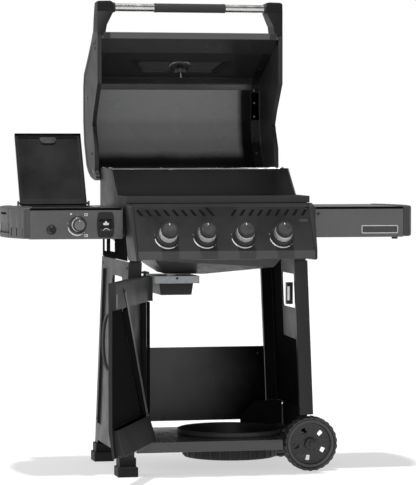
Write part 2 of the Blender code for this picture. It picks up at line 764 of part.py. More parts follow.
# The front of the lid is double: this space between its walls is open at the dial's hole.
LID_CAVITY = [
    (0.4690, -0.0725), (0.4835, -0.0725), (0.4517, 0.0385), (0.3893, 0.1200), (0.3480, 0.1815),
    (0.3430, 0.1815), (0.4220, 0.0165),
]
CAP_OUTLINE = [
    (0.490, -0.080), (0.308, -0.080), (0.212, 0.000), (0.163, 0.030), (0.155, 0.022), (0.145, 0.020),
    (0.080, -0.018), (0.000, -0.022), (-0.022, -0.055), (-0.034, -0.030), (-0.030, 0.020),
    (-0.022, 0.070), (-0.005, 0.120), (0.020, 0.158), (0.100, 0.205), (0.180, 0.222), (0.300, 0.222),
    (0.346, 0.207), (0.400, 0.128), (0.460, 0.048), (0.490, 0.015),
]


def lid(root):
    hinge = new_empty("lid_hinge", LID_HINGE, (-LID_OPEN, 0, 0), root)
    half = CAP_INNER - GAP
    shell = plate("lid_shell", lid_outline(LID_INSIDE + LID_OUTSIDE), -half, half, "X", hinge)
    slope_low, slope_high = Vector((0, -0.419, 0.015)), Vector((0, -0.335, 0.190))
    up_slope = (slope_high - slope_low).normalized()
    outward = Vector((0, -up_slope.z, up_slope.y))
    dial = slope_low + up_slope * 0.105
    cavity = plate("lid_cavity", lid_outline(LID_CAVITY), -half + 0.003, half - 0.003, "X", hinge)
    cut(shell, cavity, rod("dial_hole", dial - outward * 0.03, dial + outward * 0.06, 0.0385, hinge, 24))
    finish(shell, BLACK, 0.25)
    thermometer = turned(
        "lid_thermometer",
        [(0, 0.048), (0.046, 0.048), (0.047, 0.041), (0.037, 0.0405), (0.037, -0.012), (0.004, -0.013),
         (0.003, -0.045), (0, -0.045)],
        Matrix.Translation(dial) @ outward.to_track_quat("Z", "X").to_matrix().to_4x4(),
        hinge, 24,
    )
    finish(thermometer, STEEL, 0.3, 1.0)
    for side in (-1, 1):
        cap = plate(sided("lid_cap", side), lid_outline(CAP_OUTLINE),
                    *sorted((side * CAP_INNER, side * CAP_OUTER)), "X", hinge)
        arm = [(0.3335, 0.478), (0.3335, 0.597), (0.280, 0.600), (0.2725, 0.592), (0.2700, 0.560),
               (0.299, 0.509), (0.302, 0.4885), (0.310, 0.478)]
        bracket = plate(sided("handle_arm", side), [(side * x, -s) for x, s in arm], -0.0775, 0.0000,
                        "Z", hinge)
        join(cap, bracket)
        pocket = box(sided("arm_clear", side), (min(side * 0.20, side * CAP_INNER), -0.4880, -0.2),
                     (max(side * 0.20, side * CAP_INNER), -0.30, 0.3), hinge)
        pin_hole = rod(sided("cap_pin", side), (side * 0.3175, 0, 0), (side * 0.3310, 0, 0), 0.0066,
                       hinge, 16)
        cut(cap, pocket, pin_hole)
        finish(cap, (0.025, 0.025, 0.026), 0.5)
    tube = rod("handle_tube", (-HANDLE_HALF, -HANDLE_REACH, HANDLE_DROP),
               (HANDLE_HALF, -HANDLE_REACH, HANDLE_DROP), HANDLE_RADIUS, hinge, 20)
    finish(tube, STEEL, 0.3, 1.0, smooth=True)
    grip = plate(
        "handle_grip", ring((-HANDLE_REACH, HANDLE_DROP), HANDLE_RADIUS + 0.0017, 20), -GRIP_HALF,
        GRIP_HALF, "X", hinge, [ring((-HANDLE_REACH, HANDLE_DROP), HANDLE_RADIUS + GAP, 20)],
    )
    finish(grip, (0.02, 0.02, 0.02), 0.6, smooth=True)


# ---------------------------------------------------------------- side shelves


def end_cap(side, name, parent, offset=Vector((0, 0, 0))):
    """Bowed end moulding of a shelf, widest in the middle of its depth."""
    depth = SIDE_BACK - SIDE_FRONT
    flat, steps = SHELF_OUT + 0.022, 8
    bow = [
        (flat + (BULGE - flat) * math.sin(math.pi * i / steps) ** 0.8, SIDE_FRONT + depth * i / steps)
        for i in range(steps + 1)
    ]
    plan = [(SHELF_OUT + GAP, SIDE_FRONT), *bow, (SHELF_OUT + GAP, SIDE_BACK)]
    shifted = [(side * x - offset.x, y - offset.y) for x, y in plan]
    cap = plate(name, shifted, SIDE_Z[0] + 0.002 - offset.z, SIDE_Z[1] + 0.0015 - offset.z, "Z", parent)
    return finish(cap, (0.04, 0.04, 0.042), 0.55)


def left_shelf(root):
    x0, x1 = -SHELF_OUT, -SHELF_IN
    low, high = SIDE_Z
    t = 0.0025
    shelf = box("left_shelf", (x0, SIDE_FRONT, low), (x1, SIDE_BACK, high), root)
    hollow = box("left_shelf_hollow", (x0 + t, SIDE_FRONT + t, low - 0.1), (x1 - t, SIDE_BACK - t, high - t),
                 root)
    well = box("left_shelf_well", (WELL_X[0], WELL_Y[0], 0.85), (WELL_X[1], WELL_Y[1], 0.95), root)
    igniter = rod("left_shelf_igniter", (-0.571, -0.03, 0.832), (-0.571, 0.0, 0.832), 0.0125, root, 20)
    rocker = box("left_shelf_rocker", (-0.411, -0.03, 0.823), (-0.365, 0.0, 0.867), root)
    cut(shelf, hollow, well, igniter, rocker)
    for s in (-1, 1):
        x = SIDE_LID_HINGE.x + s * (SIDE_LID_HALF + 0.0065)
        ear = box(f"lid_ear_{s}", (x - 0.003, SIDE_LID_HINGE.y - 0.007, high - 0.001),
                  (x + 0.003, SIDE_LID_HINGE.y + 0.008, SIDE_LID_HINGE.z + 0.008), root)
        join(shelf, ear)
    axis_y, axis_z = SIDE_LID_HINGE.y, SIDE_LID_HINGE.z
    cut(shelf, rod("lid_ear_bore", (-0.66, axis_y, axis_z), (-0.35, axis_y, axis_z), 0.0039, root, 12))
    for y in (0.05, 0.34):
        join(shelf, box(f"left_spacer_{y}", (x1 - 0.001, y, 0.83), (-BOX_HALF_WIDTH - GAP, y + 0.03, 0.87),
                        root))
    stem = rod("side_stem", (-0.482, SIDE_FRONT + 0.002, 0.848), (-0.482, SIDE_FRONT - 0.030, 0.848),
               STEM_RADIUS, root, 12)
    join(shelf, stem)
    return finish(shelf, CHARCOAL, 0.4, 0.6)


def side_burner(root):
    """Pan that hangs in the shelf's well by its rim, with a round burner head in the middle."""
    rim = 0.008
    x0, x1, y0, y1 = WELL_X[0] - rim, WELL_X[1] + rim, WELL_Y[0] - rim, WELL_Y[1] + rim
    z = SIDE_Z[1] + GAP
    pan = box("side_burner", (x0, y0, z), (x1, y1, z + 0.0015), root)
    inset = 0.0015
    body = box("side_burner_body", (WELL_X[0] + inset, WELL_Y[0] + inset, 0.856),
               (WELL_X[1] - inset, WELL_Y[1] - inset, z + 0.0005), root)
    inset = 0.0035
    hollow = box("side_burner_hollow", (WELL_X[0] + inset, WELL_Y[0] + inset, 0.858),
                 (WELL_X[1] - inset, WELL_Y[1] - inset, 0.95), root)
    middle = (sum(WELL_X) / 2, sum(WELL_Y) / 2)
    head = rod("side_burner_head", (*middle, 0.857), (*middle, 0.884), 0.036, root, 24, 0.032)
    join(pan, body)
    cut(pan, hollow)
    join(pan, head)
    finish(pan, (0.03, 0.03, 0.03), 0.4)
    inset, bars = 0.006, 5
    u = (WELL_X[0] + inset, WELL_X[1] - inset)
    v = (WELL_Y[0] + inset, WELL_Y[1] - inset)
    step = (u[1] - u[0] - 0.008) / bars
    slots = [
        rectangle((u[0] + 0.008 + i * step, u[0] + (i + 1) * step), half)
        for i in range(bars)
        for half in ((v[0] + 0.009, middle[1] - 0.005), (middle[1] + 0.005, v[1] - 0.009))
    ]
    grate = plate("side_burner_grate", rectangle(u, v), 0.8925, 0.9000, "Z", root, slots)
    legs = [
        box(f"grate_leg_{i}", (x, y, 0.8583), (x + 0.006, y + 0.006, 0.894), root)
        for i, (x, y) in enumerate(
            ((u[0] + 0.001, v[0] + 0.001), (u[1] - 0.007, v[0] + 0.001), (u[0] + 0.001, v[1] - 0.007),
             (u[1] - 0.007, v[1] - 0.007))
        )
    ]
    join(grate, *legs)
    finish(grate, (0.018, 0.018, 0.018), 0.55, 0.3)


def side_burner_lid(root):
    """Flat pressed lid with turned-down edges, and a barrel along its hinge axis."""
    hinge = new_empty("side_lid_hinge", SIDE_LID_HINGE, (-SIDE_LID_OPEN, 0, 0), root)
    half, reach = SIDE_LID_HALF, SIDE_LID_REACH
    low, high, t = -0.0040, 0.0080, 0.002
    cover = box("side_burner_lid", (-half, -reach, low), (half, 0.004, high), hinge)
    hollow = box("side_lid_hollow", (-half + t, -reach + t, low - 0.01), (half - t, -0.006, high - t), hinge)
    barrel = rod("side_lid_barrel", (-half - 0.0085, 0, 0), (half + 0.0085, 0, 0), 0.0034, hinge, 12)
    cut(cover, hollow)
    join(cover, barrel)
    return finish(cover, (0.02, 0.02, 0.02), 0.4)


def shelf_controls(root):
    front = Vector((0, -1, 0))
    knob("side_burner_knob", Vector((-0.482, SIDE_FRONT, 0.848)), front, 0.0255, (0.0095, 0.0370), root)
    button = turned(
        "igniter_button",
        [(0, 0.0085), (0.0095, 0.0085), (0.0115, 0.0065), (0.0115, -0.0060), (0.0145, -0.0062),
         (0.0145, -0.0100), (0, -0.0100)],
        Matrix.Translation((-0.571, SIDE_FRONT, 0.832)) @ Matrix.Rotation(math.pi / 2, 4, "X"),
        root, 20,
    )
    finish(button, (0.02, 0.02, 0.02), 0.35)
    rocker = box("ignition_rocker", (-0.410, SIDE_FRONT - 0.012, 0.824), (-0.366, 0.0010, 0.866), root)
    stop = box("rocker_stop", (-0.414, SIDE_FRONT + 0.0068, 0.820), (-0.362, 0.0040, 0.870), root)
    join(rocker, stop)
    finish(rocker, (0.02, 0.02, 0.02), 0.35)


def right_shelf(root):
    """A hollow shelf that folds down on two stub pins, and the bracket that carries the pins."""
    fold = new_empty("right_shelf_fold", FOLD_AXIS, (0, 0, 0), root)
    away = -FOLD_AXIS
    low, high = SIDE_Z
    t = 0.0025
    x0 = SHELF_IN + 0.002
    def corner(x, y, z):
        return Vector((x, y, z)) + away
    shelf = box("right_shelf", corner(x0, SIDE_FRONT, low), corner(SHELF_OUT, SIDE_BACK, high), fold)
    hollow = box("right_shelf_hollow", corner(x0 - 0.1, SIDE_FRONT + t, low - 0.1),
                 corner(SHELF_OUT - t, SIDE_BACK - t, high - t), fold)
    cut(shelf, hollow)
    ear_front, ear_back = 0.036, SIDE_BACK - t - 0.001
    for i, (start, end) in enumerate(
        ((SIDE_FRONT + 0.001, ear_front + 0.004), (SIDE_BACK - 0.001, ear_back - 0.004))
    ):
        join(shelf, rod(f"fold_pin_{i}", (0, start, 0), (0, end, 0), 0.004, fold, 12))
    finish(shelf, CHARCOAL, 0.4, 0.6)
    end_cap(1, "right_shelf_end_cap", fold, FOLD_AXIS)

    wall = BOX_HALF_WIDTH + GAP
    bracket = box("right_shelf_bracket", (wall, ear_front, 0.803), (wall + 0.003, ear_back, 0.880), root)
    for i, (y0, y1) in enumerate(((ear_front, ear_front + 0.003), (ear_back - 0.003, ear_back))):
        join(bracket, box(f"fold_ear_{i}", (wall + 0.001, y0, 0.8035), (0.357, y1, 0.826), root))
    cut(bracket, rod("fold_bore", (FOLD_AXIS.x, -0.1, FOLD_AXIS.z), (FOLD_AXIS.x, 0.5, FOLD_AXIS.z), 0.0044,
                     root, 12))
    finish(bracket, (0.03, 0.03, 0.03), 0.5)


# ---------------------------------------------------------------- door


def door(root):
    """Pressed door with turned-in edges. Its foot bends inwards and holds a bin."""
    swing = new_empty("door_swing", DOOR_PIN, (0, 0, -DOOR_OPEN), root)
    (x0, x1), (low, high), skin = DOOR_X, DOOR_Z, DOOR_SKIN_Y
    bend, band, sheet = DOOR_BEND_Z, DOOR_BAND_Z, 0.002
    kick, edge, deep_edge = 0.013, 0.012, 0.025
    foot_edge = 0.007
    section = [
        (skin, high), (skin, bend), (skin + kick, low), (skin + kick + foot_edge, low), (skin + edge, bend),
        (skin + edge, band), (skin + deep_edge, band), (skin + deep_edge, high),
    ]
    inner = [
        (skin + sheet, high - sheet), (skin + sheet, bend), (skin + kick + sheet, low + sheet),
        (skin + 0.06, low + sheet), (skin + 0.06, high - sheet),
    ]
    panel = plate("door_panel", section, x0, x1, "X", swing)
    cut(panel, plate("door_hollow", inner, x0 + sheet, x1 - sheet, "X", swing))
    join(
        panel,
        rod("door_pin_top", (0, 0, high - 0.0015), (0, 0, 0.6915), 0.0046, swing, 12),
        box("door_pin_tab", (-0.0060, -0.0060, low + 0.0004), (0.0060, skin + kick + 0.006, low + 0.0019), swing),
        rod("door_pin_foot", (0, 0, low + 0.0015), (0, 0, 0.108), 0.0046, swing, 12),
    )
    finish(panel, BLACK, 0.35)

    bin_low, bin_high = low + 0.0045, bend
    front_low, front_high = skin + 0.0157, skin + 0.0025
    back_low, back_high = skin + 0.047, skin + 0.022
    outside = [(front_high, bin_high), (front_low, bin_low), (back_low, bin_low), (back_high, bin_high)]
    rise = 0.03 / (bin_high - bin_low)
    inside = [
        (front_high + sheet - (front_low - front_high) * rise, bin_high + 0.03), (front_low + sheet, bin_low + sheet),
        (back_low - sheet, bin_low + sheet), (back_high - sheet - (back_low - back_high) * rise, bin_high + 0.03),
    ]
    ends = (x0 + sheet + 0.001, BIN_END)
    pocket = plate("door_bin", outside, *ends, "X", swing)
    cut(pocket, plate("bin_hollow", inside, ends[0] + sheet, ends[1] - sheet, "X", swing))
    finish(pocket, BLACK, 0.4)

    curve = bpy.data.curves.new("door_handle", "CURVE")
    curve.dimensions = "3D"
    curve.bevel_depth = 0.006
    curve.bevel_resolution = 1
    curve.use_fill_caps = True
    spline = curve.splines.new("POLY")
    handle_x, handle_z, half, steps = 0.4815, 0.487, 0.088, 8
    spline.points.add(steps)
    for i, point in enumerate(spline.points):
        turn = math.pi * i / steps
        y = skin - 0.0065 - 0.018 * math.sin(turn)
        point.co = (handle_x, y, handle_z - half * math.cos(turn), 1)
    bar = bpy.data.objects.new("door_handle_bar", curve)
    TOOLS.objects.link(bar)
    graph = bpy.context.evaluated_depsgraph_get()
    mesh = bpy.data.meshes.new_from_object(bar.evaluated_get(graph))
    bpy.data.objects.remove(bar, do_unlink=True)
    work = bmesh.new()
    work.from_mesh(mesh)
    bmesh.ops.remove_doubles(work, verts=work.verts, dist=1e-6)
    bpy.data.meshes.remove(mesh)
    handle = new_object("door_handle", mesh_from(work, "door_handle"), swing)
    finish(handle, (0.03, 0.03, 0.03), 0.4, smooth=True)


def door_catch(root):
    """Magnet housing on the right leg's lip that the closed door meets."""
    catch = box("door_catch", (0.2445, 0.031, 0.572), (0.2660, 0.051, 0.646), root)
    face = box("catch_face", (0.2475, 0.0285, 0.582), (0.2595, 0.032, 0.636), root)
    join(catch, face)
    return finish(catch, (0.03, 0.03, 0.03), 0.5)


def build():
    root = new_empty("grill_root", (0, CENTRE_SHIFT_Y, 0))
    for side in (-1, 1):
        side_frame(side, root)
        cradle_bracket(side, root)
        panel_cap(side, root)
    foot_boot("foot_boot_front", -0.014, root)
    foot_boot("foot_boot_rear", CART_DEPTH - 0.064, root)
    bottom_shelf(root)
    tank_cup(root)
    rear_panel(root)
    door_hinge_bracket(root)
    axle(root)
    axle_carrier(root)
    wheel("front", WHEEL_Y[0], root)
    wheel("rear", WHEEL_Y[1], root)
    firebox(root)
    grease_funnel(root)
    drip_tray_holder(root)
    drip_tray(root)
    burners(root)
    heat_plates(root)
    cooking_grids(root)
    warming_rack(root)
    control_panel(root)
    gas_manifold(root)
    for i in range(BURNER_COUNT):
        knob(f"knob_{i + 1}", on_face(knob_x(i), KNOB_DOWN_FACE), FACE_NORMAL, KNOB_RADIUS, KNOB_OFF_FACE, root)
    lid(root)
    left_shelf(root)
    end_cap(-1, "left_shelf_end_cap", root)
    side_burner(root)
    side_burner_lid(root)
    shelf_controls(root)
    right_shelf(root)
    door(root)
    door_catch(root)


build()
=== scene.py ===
"""Looks of the gas barbecue grill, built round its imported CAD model.

Metres, +Z up, +X to the right of someone standing in front. Pieces are drawn in the same frames as
the CAD: the cart (legs' front faces at Y = 0), the two lids and the door as if closed, and the
sloping face of the control panel. Each frame's matrix then puts its pieces in the world.
"""

import json
import math

import bmesh
import bpy
from mathutils import Matrix, Vector

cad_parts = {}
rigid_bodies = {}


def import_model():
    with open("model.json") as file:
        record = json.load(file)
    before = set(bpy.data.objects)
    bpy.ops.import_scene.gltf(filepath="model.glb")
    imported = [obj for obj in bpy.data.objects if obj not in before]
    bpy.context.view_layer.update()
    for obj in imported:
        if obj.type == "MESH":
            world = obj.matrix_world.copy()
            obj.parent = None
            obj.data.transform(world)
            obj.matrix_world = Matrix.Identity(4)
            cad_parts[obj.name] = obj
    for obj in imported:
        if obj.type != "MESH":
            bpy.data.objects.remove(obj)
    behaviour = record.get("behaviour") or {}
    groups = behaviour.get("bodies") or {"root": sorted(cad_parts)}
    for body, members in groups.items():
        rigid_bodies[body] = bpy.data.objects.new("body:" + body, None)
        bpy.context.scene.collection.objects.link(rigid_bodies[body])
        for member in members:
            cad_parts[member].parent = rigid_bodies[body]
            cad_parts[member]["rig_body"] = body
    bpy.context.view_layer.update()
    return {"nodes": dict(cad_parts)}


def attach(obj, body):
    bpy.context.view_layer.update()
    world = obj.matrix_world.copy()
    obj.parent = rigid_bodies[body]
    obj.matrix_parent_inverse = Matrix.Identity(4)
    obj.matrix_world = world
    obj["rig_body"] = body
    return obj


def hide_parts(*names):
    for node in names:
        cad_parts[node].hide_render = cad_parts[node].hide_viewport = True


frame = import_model()
NODES = frame["nodes"]

# ---------------------------------------------------------------- frames and shared sizes

SHIFT = -0.1367
FLOOR_HALF_WIDTH = 0.338
SLANT = 0.0406
LEAN = math.atan(SLANT)

LID_HINGE = (0.0, 0.535, 1.022)
SIDE_LID_HINGE = (-0.505, 0.362, 0.9115)
DOOR_PIN = (-0.2535, 0.003, 0.0)
LID_OPEN = math.radians(90)
SIDE_LID_OPEN = math.radians(119)
DOOR_OPEN = math.radians(113)
WHEEL_X = 0.328
WHEEL_RADIUS = 0.094
WHEEL_Y = (0.043, 0.467)
SHELF_FRONT = Matrix.Translation((0, -0.0122, 0))

FACE_TOP = Vector((0.0, -0.045, 0.907))
FACE_BOTTOM = Vector((0.0, -0.13, 0.762))
DOWN_FACE = (FACE_BOTTOM - FACE_TOP).normalized()
OFF_FACE = Vector((0, DOWN_FACE.z, -DOWN_FACE.y))
KNOB_PITCH = 0.1305
KNOB_DOWN_FACE = 0.112

CART = Matrix.Translation((0, SHIFT, 0))
LID = CART @ Matrix.Translation(LID_HINGE) @ Matrix.Rotation(-LID_OPEN, 4, "X")
SIDE_LID = CART @ Matrix.Translation(SIDE_LID_HINGE) @ Matrix.Rotation(-SIDE_LID_OPEN, 4, "X")
DOOR = CART @ Matrix.Translation(DOOR_PIN) @ Matrix.Rotation(-DOOR_OPEN, 4, "Z")
FACE = CART @ Matrix(
    (
        (1, 0, 0, 0),
        (0, -DOWN_FACE.y, OFF_FACE.y, FACE_TOP.y),
        (0, -DOWN_FACE.z, OFF_FACE.z, FACE_TOP.z),
        (0, 0, 0, 1),
    )
)

# Where pieces of a body are drawn; those of any other body are drawn in the cart's frame
DRAWN_IN = {"lid": LID, "side_lid": SIDE_LID, "door": DOOR}


def body_of(node):
    return NODES[node]["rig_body"]


def leaning(side):
    """The frame of one side sheet: upright in it, leaning outwards in the world."""
    return CART @ Matrix.Translation((side * FLOOR_HALF_WIDTH, 0, 0)) @ Matrix.Rotation(-side * LEAN, 4, "Y")


def sided(name, side):
    return name + ("_left" if side < 0 else "_right")


def span(side, near, far):
    """From where to where in X, low first, for something on the left (-1) or right (1)."""
    return sorted((side * near, side * far))


def about_z(turn):
    return Matrix.Rotation(turn, 4, "Z")


# ---------------------------------------------------------------- materials


def tree_of(name):
    made = bpy.data.materials.new(name)
    made.use_nodes = True
    nodes, links = made.node_tree.nodes, made.node_tree.links
    return made, nodes, links, nodes["Principled BSDF"]


def noise(nodes, links, source, scale, detail=3.0, roughness=0.55):
    made = nodes.new("ShaderNodeTexNoise")
    made.inputs["Scale"].default_value = scale
    made.inputs["Detail"].default_value = detail
    made.inputs["Roughness"].default_value = roughness
    links.new(source, made.inputs["Vector"])
    return made.outputs["Fac"]


def spread(nodes, links, source, low, high, from_low=0.3, from_high=0.7):
    made = nodes.new("ShaderNodeMapRange")
    made.inputs["From Min"].default_value = from_low
    made.inputs["From Max"].default_value = from_high
    made.inputs["To Min"].default_value = low
    made.inputs["To Max"].default_value = high
    links.new(source, made.inputs["Value"])
    return made.outputs["Result"]


def blend_colours(nodes, links, factor, first, second):
    made = nodes.new("ShaderNodeMix")
    made.data_type = "RGBA"
    links.new(factor, made.inputs["Factor"])
    for socket, value in zip((made.inputs["A"], made.inputs["B"]), (first, second)):
        if isinstance(value, tuple):
            socket.default_value = (*value, 1.0)
        else:
            links.new(value, socket)
    return made.outputs["Result"]


def finish_of(
    name, colour, roughness, metallic=0.0, *, tone=0.25, tone_scale=9.0, rough_spread=0.08,
    grain=900.0, bump=0.03, stretch=(1, 1, 1), edge=0.0, coat=0.0, coat_roughness=0.1, speckle=0.0,
    specular=0.5, ior=1.5,
):
    """A finish with mottled tone and roughness, a fine grain that lifts the surface, and sharp edges
    lightened as a painted highlight.
    """
    made, nodes, links, shader = tree_of(name)
    place = nodes.new("ShaderNodeTexCoord").outputs["Object"]
    mapping = nodes.new("ShaderNodeMapping")
    mapping.inputs["Scale"].default_value = stretch
    links.new(place, mapping.inputs["Vector"])
    fine = noise(nodes, links, mapping.outputs["Vector"], grain, 4.0, 0.6)
    broad = noise(nodes, links, place, tone_scale, 5.0, 0.6)
    dark = tuple(c * (1 - tone) for c in colour)
    light = tuple(min(1.0, c * (1 + tone)) for c in colour)
    factor = spread(nodes, links, broad, 0.0, 1.0)
    mixed = blend_colours(nodes, links, factor, dark, light)
    if speckle:
        bright = tuple(min(1.0, c * (1 + speckle) + 0.01 * speckle) for c in colour)
        mixed = blend_colours(nodes, links, spread(nodes, links, fine, 0.0, 1.0, 0.45, 0.75), mixed, bright)
    # Painted highlight: sharp edges are coloured lighter, as where they catch the light.
    if edge:
        sharp = nodes.new("ShaderNodeNewGeometry").outputs["Pointiness"]
        edge_lit = tuple(min(1.0, c + edge) for c in colour)
        mixed = blend_colours(nodes, links, spread(nodes, links, sharp, 0.0, 1.0, 0.52, 0.6), mixed, edge_lit)
    links.new(mixed, shader.inputs["Base Color"])
    low, high = max(0.02, roughness - rough_spread), min(1.0, roughness + rough_spread)
    links.new(spread(nodes, links, broad, low, high), shader.inputs["Roughness"])
    shader.inputs["Metallic"].default_value = metallic
    shader.inputs["Specular IOR Level"].default_value = specular
    shader.inputs["IOR"].default_value = ior
    shader.inputs["Coat Weight"].default_value = coat
    shader.inputs["Coat Roughness"].default_value = coat_roughness
    if bump:
        lift = nodes.new("ShaderNodeBump")
        lift.inputs["Strength"].default_value = 1.0
        lift.inputs["Distance"].default_value = bump * 0.001
        links.new(fine, lift.inputs["Height"])
        links.new(lift.outputs["Normal"], shader.inputs["Normal"])
    return made


PAINT = finish_of("black_enamel", (0.01, 0.01, 0.011), 0.4, bump=0.05, edge=0.03, specular=0.26)
GLOSS = finish_of("gloss_enamel", (0.01, 0.01, 0.011), 0.16, bump=0.015, rough_spread=0.04, edge=0.03,
                  coat=0.4, coat_roughness=0.08, specular=0.45)
BASE_PAINT = finish_of("base_enamel", (0.022, 0.022, 0.023), 0.24, bump=0.04, edge=0.03)
# Painted shade: near-black with almost no shine, for grooves, slots, linings and walls that stand in shadow,
# and for black bands whose sheen it paints out.
PAINTED_SHADE = finish_of("painted_shade_enamel", (0.0025, 0.0025, 0.0025), 0.6, bump=0.05, edge=0.008, specular=0.05,
                 ior=1.04)
# Painted light: a lighter copy of the black enamel for the lid's sheet, so that its inside and lip look lit.
LIGHTENED_LID = finish_of("lid_lightened_enamel", (0.022, 0.022, 0.023), 0.24, bump=0.02, rough_spread=0.04, edge=0.03,
                      coat=0.7, coat_roughness=0.14, specular=0.65)
CAST_PAINT = finish_of("cast_black_paint", (0.013, 0.013, 0.014), 0.44, bump=0.12, grain=1400, edge=0.04,
                       specular=0.36)
FIREBOX = finish_of("firebox_enamel", (0.012, 0.012, 0.013), 0.42, bump=0.1, grain=1100, edge=0.03,
                    specular=0.3)
PANEL = finish_of("panel_enamel", (0.016, 0.016, 0.017), 0.36, bump=0.05, grain=1500, edge=0.04,
                  specular=0.24)
SHELF = finish_of("shelf_metallic", (0.088, 0.088, 0.09), 0.38, 0.75, tone=0.14, tone_scale=16, grain=1300,
                  bump=0.08, speckle=1.2, edge=0.05)
SHELF_TRIM = finish_of("shelf_trim", (0.02, 0.02, 0.021), 0.3, bump=0.04, edge=0.05)
# Painted light: a paler copy of the panel enamel, for faces that catch the light.
LIT_LOWER_PANEL = finish_of("panel_lower_lit_enamel", (0.04, 0.04, 0.042), 0.36, bump=0.05, grain=1500, edge=0.03,
                        specular=0.3)
KNOB_FACE = finish_of("knob_face", (0.05, 0.05, 0.052), 0.34, tone=0.3, tone_scale=60, bump=0.05, grain=1500)
PLASTIC = finish_of("moulded_plastic", (0.014, 0.014, 0.015), 0.48, bump=0.16, grain=1800, edge=0.03,
                    specular=0.26)
# Painted light: the end caps' plastic in a lit copy for the left cap and a shaded copy for the right one.
LIT_CAP_PLASTIC = finish_of("cap_plastic", (0.05, 0.05, 0.051), 0.48, bump=0.16, grain=1700, edge=0.03)
CAP_SHADED = finish_of("cap_plastic_shaded", (0.024, 0.024, 0.025), 0.48, bump=0.16, grain=1700, edge=0.02,
                       specular=0.35)
KNOB = finish_of("knob_plastic", (0.012, 0.012, 0.012), 0.34, bump=0.05, grain=1500, edge=0.04,
                 specular=0.25)
RUBBER = finish_of("rubber", (0.018, 0.018, 0.018), 0.72, bump=0.25, grain=1300, edge=0.02)
TYRE = finish_of("tyre_rubber", (0.022, 0.022, 0.022), 0.66, bump=0.3, tone=0.35, edge=0.03)
WHEEL = finish_of("wheel_plastic", (0.02, 0.02, 0.02), 0.4, bump=0.1, grain=1300, edge=0.05, specular=0.36)
BOOT = finish_of("boot_plastic", (0.007, 0.007, 0.007), 0.55, bump=0.16, grain=1800, edge=0.03, specular=0.12)
ARM = finish_of("arm_paint", (0.008, 0.008, 0.009), 0.46, bump=0.12, grain=1400, edge=0.04, specular=0.12)
STEEL = finish_of("brushed_steel", (0.6, 0.6, 0.59), 0.27, 1.0, tone=0.1, tone_scale=30, grain=1200,
                  stretch=(0.02, 1, 1), bump=0.004, rough_spread=0.04)
KNOB_RING = finish_of("turned_steel", (0.6, 0.6, 0.6), 0.42, 0.45, tone=0.08, bump=0.02, rough_spread=0.05)
CHROME = finish_of("chrome_wire", (0.72, 0.72, 0.72), 0.12, 1.0, tone=0.06, bump=0.01, rough_spread=0.04)
FUNNEL = finish_of("funnel_sheet", (0.05, 0.05, 0.052), 0.46, 0.35, tone_scale=50, rough_spread=0.1)
ZINC = finish_of("zinc_sheet", (0.3, 0.31, 0.32), 0.4, 1.0, tone=0.22, tone_scale=70, rough_spread=0.12)
BURNER = finish_of("burner_steel", (0.33, 0.31, 0.29), 0.38, 1.0, tone=0.3, tone_scale=20, bump=0.05)
IRON = finish_of("cast_iron", (0.02, 0.02, 0.02), 0.5, 0.2, bump=0.35, grain=700, tone=0.4, edge=0.05)
STRUT = finish_of("strut_steel", (0.1, 0.1, 0.104), 0.4, 0.4, tone=0.2, bump=0.04, edge=0.06)
# Painted shade: a darker copy of the lid's gloss for its sloping front inside.
SHADED_LID_FRONT = finish_of("lid_front_shaded_gloss", (0.004, 0.004, 0.004), 0.22, bump=0.02, rough_spread=0.05,
                        edge=0.02, specular=0.4, ior=1.25)


def shade_fade(look, axis, start, end, dark, shine):
    """Fades a finish's colour and shine to dark along one axis of the object, as painted shade."""
    nodes, links = look.node_tree.nodes, look.node_tree.links
    shader = nodes["Principled BSDF"]
    parts = nodes.new("ShaderNodeSeparateXYZ")
    links.new(nodes.new("ShaderNodeTexCoord").outputs["Object"], parts.inputs["Vector"])
    wave = noise(nodes, links, nodes.new("ShaderNodeTexCoord").outputs["Object"], 5.0, 3.0, 0.5)
    shifted = nodes.new("ShaderNodeMath")
    shifted.operation = "MULTIPLY_ADD"
    shifted.inputs[1].default_value = abs(end - start) * 0.8
    links.new(wave, shifted.inputs[0])
    links.new(parts.outputs[axis], shifted.inputs[2])
    amount = spread(nodes, links, shifted.outputs[0], 0.0, 1.0, start, end)
    old = shader.inputs["Base Color"].links[0].from_socket
    links.new(blend_colours(nodes, links, amount, (dark, dark, dark), old), shader.inputs["Base Color"])
    links.new(spread(nodes, links, amount, *shine, 0.0, 1.0), shader.inputs["Specular IOR Level"])
    return look


# Painted reflection: a grey finish for the lid's back inside, fading into painted shade towards its lower
# edge and its right end.
BACK_REFLECTION = shade_fade(
    finish_of("lid_back_painted_reflection", (0.21, 0.211, 0.216), 0.3, tone=0.03, tone_scale=4, bump=0.02,
              rough_spread=0.06, specular=0.45),
    "Z", 1.075, 1.105, 0.006, (0.05, 0.45),
)
BACK_REFLECTION = shade_fade(BACK_REFLECTION, "X", 0.262, 0.24, 0.006, (0.05, 0.45))
# Painted shade: the rear panel's enamel grows darker and duller towards its right end.
SHADED_REAR_PANEL = shade_fade(
    finish_of("rear_panel_shade_faded", (0.028, 0.028, 0.03), 0.3, tone=0.1, bump=0.02, rough_spread=0.05,
              edge=0.03, specular=0.45),
    "X", 0.33, 0.06, 0.003, (0.03, 0.45),
)
BRASS = finish_of("brass", (0.42, 0.31, 0.13), 0.33, 1.0, tone=0.2)
SCREW = finish_of("screw_steel", (0.17, 0.17, 0.17), 0.3, 0.9)
BLACK_SCREW = finish_of("black_screw", (0.035, 0.035, 0.035), 0.3, 0.3)
PRINT = finish_of("white_print", (0.78, 0.78, 0.78), 0.5, tone=0.04, bump=0.02)
DIAL = finish_of("dial_face", (0.62, 0.62, 0.6), 0.45, tone=0.05, tone_scale=40, bump=0.01)
BADGE = finish_of("badge_plate", (0.1, 0.1, 0.105), 0.3, 0.8, tone=0.15, edge=0.1)
